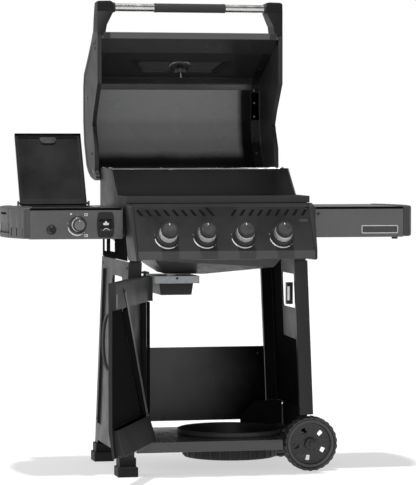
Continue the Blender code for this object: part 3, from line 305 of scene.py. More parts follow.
CERAMIC = finish_of("ceramic", (0.55, 0.52, 0.47), 0.45, tone=0.12, bump=0.05)


# ---------------------------------------------------------------- making meshes


def into_mesh(work, name):
    bmesh.ops.remove_doubles(work, verts=work.verts, dist=1e-6)
    bmesh.ops.recalc_face_normals(work, faces=work.faces)
    mesh = bpy.data.meshes.new(name)
    work.to_mesh(mesh)
    work.free()
    return mesh


def moved(work, matrix):
    bmesh.ops.transform(work, matrix=matrix, verts=work.verts)
    return work


def mirrored(work, side):
    """The shape as drawn for the left, turned over for the right."""
    return moved(work, Matrix.Scale(-side, 4, AXES["X"]))


def piece(name, work, look, body, nodes=(), place=None, bevel=0.0, segments=2, smooth=35.0):
    """Makes one visible piece: puts it in its frame, rounds its edges and ties it to its body."""
    mesh = work if isinstance(work, bpy.types.Mesh) else into_mesh(work, name)
    mesh.transform(place or DRAWN_IN.get(body, CART))
    obj = bpy.data.objects.new(name, mesh)
    bpy.context.scene.collection.objects.link(obj)
    mesh.materials.clear()
    mesh.materials.append(look)
    mesh.shade_smooth()
    if bevel:
        rounding = obj.modifiers.new("Rounding", "BEVEL")
        rounding.width = bevel
        rounding.segments = segments
        rounding.limit_method = "ANGLE"
        rounding.angle_limit = math.radians(30)
        rounding.harden_normals = False
        rounding.use_clamp_overlap = True
        normals = obj.modifiers.new("Even", "WEIGHTED_NORMAL")
        normals.mode = "FACE_AREA"
        normals.weight = 100
        normals.keep_sharp = True
    mesh.set_sharp_from_angle(angle=math.radians(180 if bevel else smooth))
    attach(obj, body)
    if nodes:
        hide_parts(*([nodes] if isinstance(nodes, str) else nodes))
    return obj


def block(low, high):
    work = bmesh.new()
    bmesh.ops.create_cube(work, size=1.0)
    low, high = Vector(low), Vector(high)
    for vertex in work.verts:
        vertex.co = (low + high) / 2 + vertex.co * (high - low)
    return work


PLANES = {
    "X": Matrix(((0, 0, 1, 0), (1, 0, 0, 0), (0, 1, 0, 0), (0, 0, 0, 1))),
    "Y": Matrix(((1, 0, 0, 0), (0, 0, -1, 0), (0, 1, 0, 0), (0, 0, 0, 1))),
    "Z": Matrix.Identity(4),
}
AXES = {"X": Vector((1, 0, 0)), "Y": Vector((0, 1, 0)), "Z": Vector((0, 0, 1))}


def slab(outline, low, high, axis, holes=()):
    """An outline, with holes, extruded along an axis.

    Its points are (y, z) along X, (x, z) along Y and (x, y) along Z.
    """
    work = bmesh.new()
    if not holes:
        ring = [work.verts.new((u, v, (low - high) / 2)) for u, v in outline]
        face = work.faces.new(ring)
        grown = bmesh.ops.extrude_face_region(work, geom=[face])
        risen = [e for e in grown["geom"] if isinstance(e, bmesh.types.BMVert)]
        bmesh.ops.translate(work, verts=risen, vec=(0, 0, high - low))
    else:
        curve = bpy.data.curves.new("outline", "CURVE")
        curve.dimensions = "2D"
        curve.fill_mode = "BOTH"
        curve.extrude = (high - low) / 2
        for path in (outline, *holes):
            spline = curve.splines.new("POLY")
            spline.points.add(len(path) - 1)
            for point, (u, v) in zip(spline.points, path):
                point.co = (u, v, 0, 1)
            spline.use_cyclic_u = True
        flat = bpy.data.objects.new("outline", curve)
        bpy.context.scene.collection.objects.link(flat)
        mesh = bpy.data.meshes.new_from_object(flat.evaluated_get(bpy.context.evaluated_depsgraph_get()))
        bpy.data.objects.remove(flat, do_unlink=True)
        work.from_mesh(mesh)
        bpy.data.meshes.remove(mesh)
        bmesh.ops.remove_doubles(work, verts=work.verts, dist=1e-6)
        bmesh.ops.dissolve_limit(work, angle_limit=0.01, verts=work.verts, edges=work.edges)
    return moved(work, Matrix.Translation(AXES[axis] * (low + high) / 2) @ PLANES[axis])


def turned(profile, steps=40, place=None):
    """A profile of (radius, height) points turned about Z, then placed."""
    work = bmesh.new()
    rings = []
    for r, h in profile:
        if r < 1e-7:
            rings.append([work.verts.new((0, 0, h))])
            continue
        rings.append([work.verts.new((r * math.cos(2 * math.pi * i / steps),
                                      r * math.sin(2 * math.pi * i / steps), h)) for i in range(steps)])
    for a, b in zip(rings, rings[1:]):
        for i in range(steps):
            j = (i + 1) % steps
            if len(a) == 1 and len(b) == 1:
                break
            if len(a) == 1:
                work.faces.new((a[0], b[i], b[j]))
            elif len(b) == 1:
                work.faces.new((a[i], b[0], a[j]))
            else:
                work.faces.new((a[i], b[i], b[j], a[j]))
    return moved(work, place) if place else work


def closed_turn(profile, steps=40, place=None):
    return turned([*profile, profile[0]], steps, place)


def tube(path, radius, sides=12, closed=False):
    """A round bar along a path."""
    work = bmesh.new()
    points = [Vector(p) for p in path]
    count = len(points)
    up = Vector((0, 0, 1))
    rings = []
    for i, point in enumerate(points):
        before = points[(i - 1) % count] if closed or i else points[0]
        after = points[(i + 1) % count] if closed or i < count - 1 else points[-1]
        along = (after - before).normalized()
        if abs(along.dot(up)) > 0.98:
            up = Vector((0, 1, 0)) if abs(along.y) < 0.9 else Vector((1, 0, 0))
        across = along.cross(up).normalized()
        up = across.cross(along).normalized()
        rings.append(
            [
                work.verts.new(
                    point + radius * (across * math.cos(2 * math.pi * k / sides)
                                      + up * math.sin(2 * math.pi * k / sides))
                )
                for k in range(sides)
            ]
        )
    pairs = list(zip(rings, rings[1:]))
    if closed:
        pairs.append((rings[-1], rings[0]))
    for a, b in pairs:
        for k in range(sides):
            m = (k + 1) % sides
            work.faces.new((a[k], a[m], b[m], b[k]))
    if not closed:
        work.faces.new(rings[0][::-1])
        work.faces.new(rings[-1])
    return work


def gathered(works):
    """Several shapes in one."""
    whole = bmesh.new()
    for work in works:
        mesh = bpy.data.meshes.new("part")
        bmesh.ops.recalc_face_normals(work, faces=work.faces)
        work.to_mesh(mesh)
        work.free()
        whole.from_mesh(mesh)
        bpy.data.meshes.remove(mesh)
    return whole


def carved(work, cutters, operation="DIFFERENCE"):
    """The shape with each cutter taken away from it, or joined to it."""
    obj = bpy.data.objects.new("carved", into_mesh(work, "carved"))
    bpy.context.scene.collection.objects.link(obj)
    tools = []
    for cutter in cutters:
        tool = bpy.data.objects.new("tool", into_mesh(cutter, "tool"))
        bpy.context.scene.collection.objects.link(tool)
        step = obj.modifiers.new("Step", "BOOLEAN")
        step.operation = operation
        step.solver = "EXACT"
        step.object = tool
        tools.append(tool)
    mesh = bpy.data.meshes.new_from_object(obj.evaluated_get(bpy.context.evaluated_depsgraph_get()))
    for used in (obj, *tools):
        bpy.data.objects.remove(used, do_unlink=True)
    result = bmesh.new()
    result.from_mesh(mesh)
    bpy.data.meshes.remove(mesh)
    bmesh.ops.remove_doubles(result, verts=result.verts, dist=2e-6)
    bmesh.ops.dissolve_limit(result, angle_limit=0.01, verts=result.verts, edges=result.edges)
    return result


def rounded(outline, radius, steps=4, only=None):
    """The outline with each corner, or the numbered ones, turned into an arc of about that radius."""
    made = []
    count = len(outline)
    for i, corner in enumerate(outline):
        here = Vector(corner)
        back, on = Vector(outline[i - 1]) - here, Vector(outline[(i + 1) % count]) - here
        turn = back.angle(on)
        if (only is not None and i not in only) or turn > math.radians(176):
            made.append(tuple(here))
            continue
        reach = min(radius / math.tan(turn / 2), 0.45 * back.length, 0.45 * on.length)
        start, end = here + back.normalized() * reach, here + on.normalized() * reach
        for k in range(steps + 1):
            t = k / steps
            made.append(tuple(start * (1 - t) ** 2 + here * 2 * t * (1 - t) + end * t * t))
    return made


def rectangle(u, v, corner=0.0, steps=4):
    path = [(u[0], v[0]), (u[1], v[0]), (u[1], v[1]), (u[0], v[1])]
    return rounded(path, corner, steps) if corner else path


def circle(centre, radius, sides=24):
    turn = 2 * math.pi / sides
    return [(centre[0] + radius * math.cos(i * turn), centre[1] + radius * math.sin(i * turn))
            for i in range(sides)]


def facing(direction, at, spin=0.0):
    """The place of something drawn along +Z that should point in a direction from a point."""
    turn = Vector(direction).to_track_quat("Z", "Y").to_matrix().to_4x4()
    return Matrix.Translation(Vector(at)) @ turn @ about_z(spin)


def screw_head(at, direction, radius=0.0045, spin=0.3):
    """A pan head with a cross recess."""
    low, high = 0.0, radius * 0.45
    head = turned([(0, high), (radius * 0.55, high), (radius * 0.85, high * 0.8), (radius, high * 0.35),
                   (radius, low), (0, low)], 20)
    slots = [block((-radius * 0.55, -radius * 0.1, high * 0.5), (radius * 0.55, radius * 0.1, high * 2)),
             block((-radius * 0.1, -radius * 0.55, high * 0.5), (radius * 0.1, radius * 0.55, high * 2))]
    return moved(carved(head, slots), facing(direction, at, spin))


def screws(name, places, look, body, place=None, radius=0.0045):
    heads = [screw_head(at, direction, radius, 0.4 * i) for i, (at, direction) in enumerate(places)]
    return piece(name, gathered(heads), look, body, place=place, smooth=40)


def softened(node, look, width=0.0012, segments=2):
    """A piece with a CAD node's own shape and rounded edges, which stands for the node."""
    work = bmesh.new()
    work.from_mesh(NODES[node].data)
    bmesh.ops.remove_doubles(work, verts=work.verts, dist=2e-5)
    bmesh.ops.dissolve_limit(work, angle_limit=math.radians(1.5), verts=work.verts, edges=work.edges)
    return piece(node + "_skin", work, look, body_of(node), node, place=Matrix.Identity(4), bevel=width,
                 segments=segments)


def paint_node(node, look):
    """Keeps a CAD node as it is, with a finish of its own."""
    mesh = NODES[node].data
    mesh.materials.clear()
    mesh.materials.append(look)
    for polygon in mesh.polygons:
        polygon.material_index = 0


# ---------------------------------------------------------------- cart


WINDOW_FAR = {-1: 0.285, 1: 0.36}
GROOVE_LOW = {-1: 0.132, 1: 0.207}
GUARD_TOP, LEG_TOP = 0.205, 0.712
RIGHT_SCREWS_FROM = 0.2


def side_frames():
    """Folded sides: a pressed groove by the back leg, a raised rim round the window, and black sheets of
    painted shade in the groove and inside the side and back leg.
    """
    thin = (-0.0003, 0.0003)
    for side in (-1, 1):
        lean = leaning(side)

        def outwards(distance):
            return lean @ Matrix.Translation((side * distance, 0, 0))

        softened(sided("side_frame", side), PAINT, 0.0016, 3)
        # Painted shade: the cradle bracket is drawn near-black with almost no shine.
        softened(sided("cradle_bracket", side), PAINTED_SHADE, 0.0006)
        low = GROOVE_LOW[side]
        rib = slab(rectangle((0.405, 0.475), (low, 0.686), 0.012), -0.0009, 0.0009, "X",
                   [rectangle((0.409, 0.471), (low + 0.004, 0.682), 0.01)])
        piece(sided("side_rib", side), rib, PAINT, "cart", place=outwards(0.0007), bevel=0.0006)
        # Painted shade: a black sheet on the groove's floor.
        floor = slab(rectangle((0.4085, 0.4715), (low + 0.0035, 0.6825), 0.01), -0.0004, 0.0004, "X")
        piece(sided("side_groove", side), floor, PAINTED_SHADE, "cart", place=outwards(0.0002))
        far = WINDOW_FAR[side]
        # Painted shade: black sheets inside the side and on the back leg.
        lining = slab([(0.022, GUARD_TOP), (0.485, GUARD_TOP), (0.485, LEG_TOP), (far + 0.008, LEG_TOP),
                       (far + 0.008, 0.445), (0.022, 0.435)], *thin, "X")
        piece(sided("side_lining", side), lining, PAINTED_SHADE, "cart", place=outwards(-0.0036))
        post = mirrored(slab(rectangle((0.005, 0.042), (GUARD_TOP, LEG_TOP)), *thin, "Y"), side)
        piece(sided("rear_leg_lining", side), post, PAINTED_SHADE, "cart",
              place=lean @ Matrix.Translation((0, 0.5064, 0)))
        rim = slab(rectangle((0.096, far + 0.004), (0.544, 0.672), 0.017), -0.0022, 0.0022, "X",
                   [rectangle((0.1005, far - 0.0005), (0.5485, 0.6675), 0.014)])
        piece(sided("window_rim", side), rim, PAINT, "cart", place=outwards(-0.0015), bevel=0.0006)
        tab = mirrored(block((0.0045, 0.004, LEG_TOP), (0.044, 0.0065, 0.744)), side)
        piece(sided("leg_top_tab", side), tab, PAINT, "cart", place=lean, bevel=0.0005)
        heads = [((side * 0.0002, y, z), (side, 0, 0))
                 for y in (0.024, 0.486) for z in (0.15, 0.7) if side < 0 or z > RIGHT_SCREWS_FROM]
        screws(sided("side_screws", side), heads, BLACK_SCREW, "cart", place=lean, radius=0.0055)


def boots():
    for name in ("foot_boot_front", "foot_boot_rear"):
        softened(name, BOOT, 0.0025, 3)


def bottom():
    """Bottom shelf, rear panel (painted shade towards its right) with its screws, a painted-shade sheet over
    the upright by the rear wheel, and the axle.
    """
    softened("bottom_shelf", BASE_PAINT, 0.0022, 3)
    # Painted shade on the rear panel, darker towards its right end.
    softened("rear_panel", SHADED_REAR_PANEL, 0.0008)
    # Painted shade: a black sheet over the upright by the rear wheel, hiding its lit edge.
    guard = slab([(0.176, 0.1155), (0.3045, 0.1155), (0.3045, 0.123), (0.3256, 0.123), (0.3256, 0.2056),
                  (0.2247, 0.2056), (0.1744, 0.1505), (0.1744, 0.1155)], 0.4288, 0.4332, "Y")
    piece("guard_shade_sheet", guard, PAINTED_SHADE, "cart")
    softened("door_hinge_bracket", PAINT, 0.0008)
    softened("axle_carrier", PAINT, 0.0012)
    paint_node("axle", BLACK_SCREW)
    half, foot = 0.2625, 0.133
    heads = [((s * (half - SLANT * (z - foot)), 0.4948, z), (0, -1, 0))
             for s in (-1, 1) for z in (0.16, 0.37)]
    screws("rear_panel_screws", heads, BLACK_SCREW, "cart")


def cup():
    """Ribbed cup for the gas bottle: rolled rim, wall with upright ribs, and a dished floor."""
    place = Matrix.Translation((0.097, 0.26, 0))
    rim, hole = 0.182, 0.17
    profile = [
        (0, 0.036), (hole - 0.05, 0.036), (hole - 0.016, 0.0375), (hole - 0.0105, 0.046),
        (hole - 0.003, 0.112), (rim - 0.008, 0.129), (rim - 0.003, 0.131), (rim, 0.1295), (rim, 0.1145),
        (hole + 0.0005, 0.1143), (hole - 0.001, 0.108), (hole - 0.0065, 0.044), (hole - 0.0105, 0.0335),
        (hole - 0.018, 0.0325), (0, 0.0325),
    ]
    piece("tank_cup_skin", turned(profile, 72, place), PLASTIC, "cart", "tank_cup", smooth=40)
    # Painted light: a paler band on the outer wall of the rim, where it catches the light.
    inner, outer = rim - 0.0008, rim + 0.0004
    band = closed_turn([(outer, 0.1165), (outer, 0.1275), (inner, 0.1275), (inner, 0.1165)], 72, place)
    piece("tank_cup_lit_band", band, LIT_LOWER_PANEL, "cart", smooth=40)
    ribs = []
    count = 30
    for i in range(count):
        rib = slab([(hole - 0.009, 0.036), (hole - 0.0045, 0.04), (hole + 0.0005, 0.104),
                    (hole - 0.004, 0.104)], -0.0022, 0.0022, "Y")
        ribs.append(moved(rib, place @ about_z(2 * math.pi * (i + 0.5) / count)))
    piece("tank_cup_ribs", gathered(ribs), PLASTIC, "cart", bevel=0.0006, segments=1)
    for i, radius in enumerate((0.06, 0.105, 0.145)):
        ring = closed_turn([(radius + 0.003, 0.0358), (radius + 0.002, 0.0388), (radius - 0.002, 0.0388),
                            (radius - 0.003, 0.0358)], 64, place)
        piece(f"tank_cup_ring_{i + 1}", ring, PLASTIC, "cart", smooth=30)


TYRE_INSIDE = WHEEL_RADIUS - 0.0125


def tyre(name, place):
    """A tyre whose tread is two rows of lugs, set half a step apart."""
    half, inner, outer = 0.023, TYRE_INSIDE, WHEEL_RADIUS
    section = [
        (inner, 0.016), (inner + 0.003, half - 0.002), (inner + 0.007, half), (outer - 0.006, half - 0.001),
        (outer - 0.0022, half - 0.006), (outer - 0.0016, 0.006), (outer - 0.0014, -0.006),
        (outer - 0.0022, -half + 0.006), (outer - 0.006, -half + 0.001), (inner + 0.007, -half),
        (inner + 0.003, -half + 0.002), (inner, -0.016),
    ]
    body = "wheel_" + name
    piece(f"tyre_{name}_body", closed_turn(section, 80), TYRE, body, "tyre_" + name, place=place, smooth=40)
    lugs = []
    count = 26
    for i in range(count):
        for row in (-1, 1):
            lug = slab([(outer - 0.004, row * 0.0015), (outer - 0.0001, row * 0.003),
                        (outer - 0.0001, row * (half - 0.006)), (outer - 0.0035, row * (half - 0.0005)),
                        (outer - 0.01, row * (half + 0.0002)), (outer - 0.01, row * 0.004)],
                       -0.0058, 0.0058, "Y")
            lugs.append(moved(lug, about_z(2 * math.pi * (i + 0.25 * (row + 1)) / count)))
    piece(f"tyre_{name}_lugs", gathered(lugs), TYRE, body, place=place, bevel=0.0009, segments=1)


def wheel(name, place):
    """A moulded wheel: a disc with five windows, a rim, a raised hub and two ribs between windows."""
    body, inner = "wheel_" + name, TYRE_INSIDE
    fifth, first = 72, 45
    windows = []
    for i in range(5):
        turn = math.radians(first + fifth * i)
        along = Vector((math.cos(turn), math.sin(turn)))
        across = Vector((-along.y, along.x))
        corners = ((-0.0095, -0.0075), (0.009, -0.009), (0.009, 0.009), (-0.0095, 0.0075))
        windows.append(rounded([tuple(along * (0.049 + a) + across * b) for a, b in corners], 0.003, 3))
    plate = slab(circle((0, 0), inner - 0.01, 60), -0.005, 0.011, "Z", windows)
    piece(f"wheel_{name}_disc", plate, WHEEL, body, "wheel_" + name, place=place, bevel=0.0009)
    rim = closed_turn([(inner - 0.0004, 0.0185), (inner - 0.01, 0.0195), (inner - 0.0125, 0.011),
                       (inner - 0.0125, -0.011), (inner - 0.01, -0.0195), (inner - 0.0004, -0.0185)], 80)
    piece(f"wheel_{name}_rim", rim, WHEEL, body, place=place, smooth=30)
    hub = closed_turn([(0.006, 0.0225), (0.015, 0.0225), (0.0195, 0.0205), (0.0215, 0.016), (0.0225, 0.005),
                       (0.0225, -0.015), (0.019, -0.0205), (0.006, -0.0205)], 48)
    piece(f"wheel_{name}_hub", hub, WHEEL, body, place=place)
    cap = turned([(0, 0.0246), (0.012, 0.0242), (0.017, 0.0232), (0.019, 0.0215), (0.0195, 0.019),
                  (0.0062, 0.019)], 40)
    outside = place if name == "front" else place @ Matrix.Rotation(math.pi, 4, "X")
    piece(f"wheel_{name}_cap", cap, WHEEL, body, place=outside)
    spokes = []
    for i in range(5):
        for offset in (-0.0075, 0.0075):
            spoke = block((0.02, offset - 0.0013, -0.008), (inner - 0.011, offset + 0.0013, 0.0122))
            spokes.append(moved(spoke, about_z(math.radians(first + fifth / 2 + fifth * i))))
    piece(f"wheel_{name}_spokes", gathered(spokes), WHEEL, body, place=place, bevel=0.0007, segments=1)


def wheels():
    for name, y in zip(("front", "rear"), WHEEL_Y):
        place = CART @ Matrix.Translation((WHEEL_X, y, WHEEL_RADIUS)) @ Matrix.Rotation(math.pi / 2, 4, "X")
        tyre(name, place)
        wheel(name, place)


# ---------------------------------------------------------------- firebox


def firebox():
    """The firebox with what hangs under it, and the burners and heat plates in it."""
    softened("firebox", FIREBOX, 0.0014)
    softened("grease_funnel", FUNNEL, 0.0008)
    softened("drip_tray_holder", ZINC, 0.0005)
    softened("drip_tray", PAINT, 0.001)
    plug = slab(circle((-0.112, 0.658), 0.006, 16), 0.1585, 0.159, "Y")
    piece("holder_vent_shade", plug, PAINTED_SHADE, "cart")
    for i in range(4):
        softened(f"heat_plate_{i + 1}", BURNER, 0.0007)
        paint_node(f"burner_tube_{i + 1}", BURNER)
    softened("gas_manifold", BRASS, 0.001)
    spots = ((0.345, 1.008), (0.47, 0.9), (0.08, 0.85))
    seams = [((s * 0.316, y, z), (s, 0, 0)) for s in (-1, 1) for y, z in spots]
    screws("firebox_screws", seams, SCREW, "cart", radius=0.005)


def cooking_grids():
    """Cast grids: round-topped bars between two rails, with a cross rail under their middle."""
    low, high = 0.8985, 0.91
    y0, y1 = 0.0415, 0.4985
    wide, count = 0.011, 15
    for side in (-1, 1):
        x0, x1 = span(side, 0.0018, 0.3092)
        works = [block((x0, y, low), (x1, y + wide, high - 0.0015))
                 for y in (y0, (y0 + y1 - wide) / 2, y1 - wide)]
        pitch = (x1 - x0 - 0.008) / (count - 1)
        for i in range(count):
            x = x0 + 0.004 + i * pitch
            bar = rounded([(x - 0.003, low), (x + 0.003, low), (x + 0.004, high - 0.003),
                           (x + 0.0025, high), (x - 0.0025, high), (x - 0.004, high - 0.003)], 0.0012, 2)
            works.append(slab(bar, y0, y1, "Y"))
        piece(sided("cooking_grid_bars", side), gathered(works), IRON, "cart", sided("cooking_grid", side),
              bevel=0.0006, segments=1)


def warming_rack():
    """Plated wire shelf: an outer wire, wires from side to side and cross wires under them."""
    x, y0, y1, z = 0.3, 0.352, 0.488, 1.0295
    r = 0.0026
    works = []
    for y in (y0 + r, y1 - r):
        works.append(tube([(-x - 0.012, y, z + 0.0045), (-x - 0.001, y, z + 0.0035), (-x + 0.006, y, z),
                           (x - 0.006, y, z), (x + 0.001, y, z + 0.0035), (x + 0.012, y, z + 0.0045)], r, 12))
    for s in (-1, 1):
        works.append(tube([(s * (x - 0.004), y0 + r, z), (s * (x - 0.004), y1 - r, z)], r, 12))
    for i in range(1, 12):
        y = y0 + r + (y1 - y0 - 2 * r) * i / 12
        works.append(tube([(-x + 0.004, y, z), (x - 0.004, y, z)], 0.0016, 10))
    for cross in (-0.1, 0.1):
        works.append(tube([(cross, y0 + 0.001, z + 0.003), (cross, y0 + r, z - 0.0032),
                           (cross, y1 - r, z - 0.0032), (cross, y1 - 0.001, z + 0.003)], 0.0021, 10))
    piece("warming_rack_wires", gathered(works), CHROME, "cart", "warming_rack", smooth=60)


# ---------------------------------------------------------------- control panel


def control_panel():
    """The sloping panel: caps, knobs, painted shade in the vent slots, a lower strip painted paler as lit, a
    blank plate and two screws.
    """
    softened("control_panel", PANEL, 0.0009)
    for side in (-1, 1):
        softened(sided("panel_cap", side), PLASTIC, 0.0035, 3)
    for i in range(4):
        place = FACE @ Matrix.Translation(((i - 1.5) * KNOB_PITCH, -KNOB_DOWN_FACE, 0))
        knob(f"knob_{i + 1}", place, 0.03, 0.05, 0.038)
        dial_marks(f"dial_marks_{i + 1}", place, 0.044)
    works = []
    half, pitch, long, longest = 0.0052, 0.0303, 0.021, 0.03
    for side in (-1, 1):
        lean = -side * 0.75
        for i in range(9):
            x = side * (0.034 + i * pitch)
            length = longest if i == (0 if side < 0 else 8) else long
            low, high = x + lean * 0.0035, x + lean * (0.0045 - length)
            works.append(slab([(low - half, -0.0355), (low + half, -0.0355), (high + half, length - 0.033),
                               (high - half, length - 0.033)], 0.0001, 0.0004, "Z"))
    piece("vent_shadows", gathered(works), PAINTED_SHADE, "cart", place=FACE)
    # Painted light: a paler sheet over the panel's lower fold.
    foot = [(-0.1306, 0.7615), (-0.1381, 0.7345), (-0.1377, 0.7345), (-0.1302, 0.7615)]
    piece("panel_lower_lit_strip", slab(foot, -0.3085, 0.3085, "X"), LIT_LOWER_PANEL, "cart")
    plate = slab(rectangle((0.262, 0.29), (-0.061, -0.05), 0.004), 0.0, 0.0009, "Z")
    piece("blank_plate", plate, BADGE, "cart", place=FACE, bevel=0.0003)
    heads = [((x, -0.0105, 0.0), (0, 0, 1)) for x in (-0.291, 0.291)]
    screws("panel_screws", heads, BLACK_SCREW, "cart", place=FACE, radius=0.0032)


def knob(node, place, radius, reach, skirt, top_look=KNOB_FACE):
    """A bezel fixed to the panel, and a knob with a bright collar, a grooved cap and a line on its face."""
    bezel = closed_turn([(skirt - 0.01, 0.0095), (skirt - 0.0065, 0.01), (skirt - 0.003, 0.0078),
                         (skirt, 0.0022), (skirt, 0.0002), (skirt - 0.01, 0.0002)], 56)
    piece(node + "_bezel", bezel, KNOB, "cart", place=place, smooth=40)
    body = body_of(node)
    collar_top = reach * 0.7
    collar = closed_turn([(radius * 0.6, collar_top), (radius * 0.965, collar_top),
                          (radius, collar_top - 0.001), (radius * 1.02, 0.0125), (radius, 0.0106),
                          (radius * 0.6, 0.0106)], 56)
    piece(node + "_collar", collar, KNOB_RING, body, place=place, smooth=40)
    cap = turned([(0, reach - 0.001), (radius * 0.8, reach - 0.0009), (radius * 0.82, reach - 0.0001),
                  (radius * 0.92, reach), (radius * 0.965, reach - 0.0012), (radius * 0.985, reach - 0.004),
                  (radius * 0.985, collar_top + 0.002), (radius * 0.955, collar_top + 0.0006),
                  (radius * 0.5, collar_top + 0.0006)], 56)
    piece(node + "_cap", cap, KNOB, body, node, place=place, smooth=40)
    top = turned([(0, reach - 0.0004), (radius * 0.7, reach - 0.0004), (radius * 0.79, reach - 0.0006),
                  (radius * 0.79, reach - 0.0012), (0, reach - 0.0012)], 48)
    piece(node + "_face", top, top_look, body, place=place, smooth=30)
    ridges = []
    count = 36
    for i in range(count):
        ridge = block((radius * 0.95, -0.0009, collar_top + 0.0035), (radius * 0.992, 0.0009, reach - 0.0055))
        ridges.append(moved(ridge, about_z(2 * math.pi * i / count)))
    piece(node + "_ridges", gathered(ridges), KNOB, body, place=place, bevel=0.0003, segments=1)
    index = slab([(-0.0014, radius * 0.5), (0.0014, radius * 0.5), (0.0011, radius * 0.74),
                  (-0.0011, radius * 0.74)], reach - 0.0006, reach - 0.0001, "Z")
    piece(node + "_index", index, PRINT, body, place=place)


def dial_marks(name, place, radius):
    """A printed wedge round the lower left of a knob, widest at its middle, and three dots."""
    outer, inner = [], []
    steps = 22
    for i in range(steps + 1):
        turn = math.radians(192 + 108 * i / steps)
        width = 0.001 + 0.003 * math.sin(math.pi * i / steps) ** 0.7
        outer.append(((radius + width) * math.cos(turn), (radius + width) * math.sin(turn)))
        inner.append(((radius - 0.0004) * math.cos(turn), (radius - 0.0004) * math.sin(turn)))
    outlines = [outer + inner[::-1]]
    for turn in map(math.radians, (172, 310, 90)):
        outlines.append(circle((radius * math.cos(turn), radius * math.sin(turn)), 0.0011, 12))
    printed = [slab(outline, 0.0, 0.00025, "Z") for outline in outlines]
    piece(name, gathered(printed), PRINT, "cart", place=place)


# ---------------------------------------------------------------- main lid


def of_lid(points):
    return [(-s, h) for s, h in points]


LID_INSIDE = [
    (0.465, -0.0755), (0.419, 0.015), (0.335, 0.19), (0.315, 0.206), (0.285, 0.214), (0.18, 0.214),
    (0.1, 0.197), (0.02, 0.15), (-0.006, 0.105), (-0.012, 0.065),
]
LID_OUTSIDE = [
    (-0.0145, 0.065), (-0.0085, 0.106), (0.018, 0.1525), (0.099, 0.1995), (0.18, 0.217), (0.3, 0.217),
    (0.338, 0.203), (0.392, 0.122), (0.455, 0.04), (0.487, -0.0755), (0.487, -0.078), (0.465, -0.078),
]
CAP_OUTLINE = [
    (0.49, -0.08), (0.308, -0.08), (0.212, 0.0), (0.163, 0.03), (0.155, 0.022), (0.145, 0.02),
    (0.08, -0.018), (0.0, -0.022), (-0.022, -0.055), (-0.034, -0.03), (-0.03, 0.02),
    (-0.022, 0.07), (-0.005, 0.12), (0.02, 0.158), (0.1, 0.205), (0.18, 0.222), (0.3, 0.222),
    (0.346, 0.207), (0.4, 0.128), (0.46, 0.048), (0.49, 0.015),
]
SLOPE_LOW, SLOPE_HIGH = Vector((0, -0.419, 0.015)), Vector((0, -0.335, 0.19))
UP_SLOPE = (SLOPE_HIGH - SLOPE_LOW).normalized()
SLOPE_OUT = Vector((0, -UP_SLOPE.z, UP_SLOPE.y))
DIAL_CENTRE = SLOPE_LOW + UP_SLOPE * 0.105
# The frame of the lid's sloping inside: X across the grill, Y up the slope, Z into the sheet
ON_SLOPE = Matrix(
    (
        (1, 0, 0, 0),
        (0, UP_SLOPE.y, -SLOPE_OUT.y, SLOPE_LOW.y),
        (0, UP_SLOPE.z, -SLOPE_OUT.z, SLOPE_LOW.z),
        (0, 0, 0, 1),
    )
)


def pressed_panel():
    """The outline of the sunk panel in the lid's front, as seen from inside."""
    return rounded([(-0.165, 0.068), (0.16, 0.068), (0.125, 0.15), (-0.13, 0.15)], 0.018, 5)


def lid_shell():
    """The lid's sheet and its double front. The dial's opening goes through both walls of it."""
    outline = rounded(of_lid(LID_INSIDE + LID_OUTSIDE), 0.02, 5, only=(*range(2, 9), *range(11, 19)))
    half = 0.3182
    shell = slab(outline, -half, half, "X")
    opening = turned([(0, 0.06), (0.0385, 0.06), (0.0385, -0.03), (0, -0.03)], 40,
                     facing(SLOPE_OUT, DIAL_CENTRE))
    pressed = moved(slab(pressed_panel(), -0.0035, 0.01, "Z"), ON_SLOPE)
    # Painted light: the lid's sheet is drawn in a lighter copy of its black enamel.
    piece("lid_shell_skin", carved(shell, [opening, pressed]), LIGHTENED_LID, "lid", "lid_shell", bevel=0.0009)


def beside(path, distance):
    """A path shifted sideways, to the inside of the lid."""
    shifted = []
    for i, point in enumerate(path):
        along = (path[min(i + 1, len(path) - 1)] - path[max(i - 1, 0)]).normalized()
        shifted.append(tuple(point + Vector((along.y, -along.x)) * distance))
    return shifted


def lid_painted_light_sheets():
    """Thin sheets over the lid's inside: painted shade on its front, and a painted reflection fading into
    painted shade on its back.
    """
    half = 0.286
    cover = slab(rectangle((-half, half), (0.003, 0.185)), 0.0001, 0.0007, "Z", [pressed_panel()])
    piece("lid_front_shade_sheet", moved(cover, ON_SLOPE), SHADED_LID_FRONT, "lid")
    front_end = -0.292
    arc = rounded(of_lid(LID_INSIDE), 0.14, 8, only=range(4, 9))
    arc = [Vector(point) for point in arc if point[0] > front_end]
    back = slab(beside(arc, 0.0006) + beside(arc, 0.0012)[::-1], -half, half, "X")
    piece("lid_back_reflection_sheet", back, BACK_REFLECTION, "lid", smooth=60)


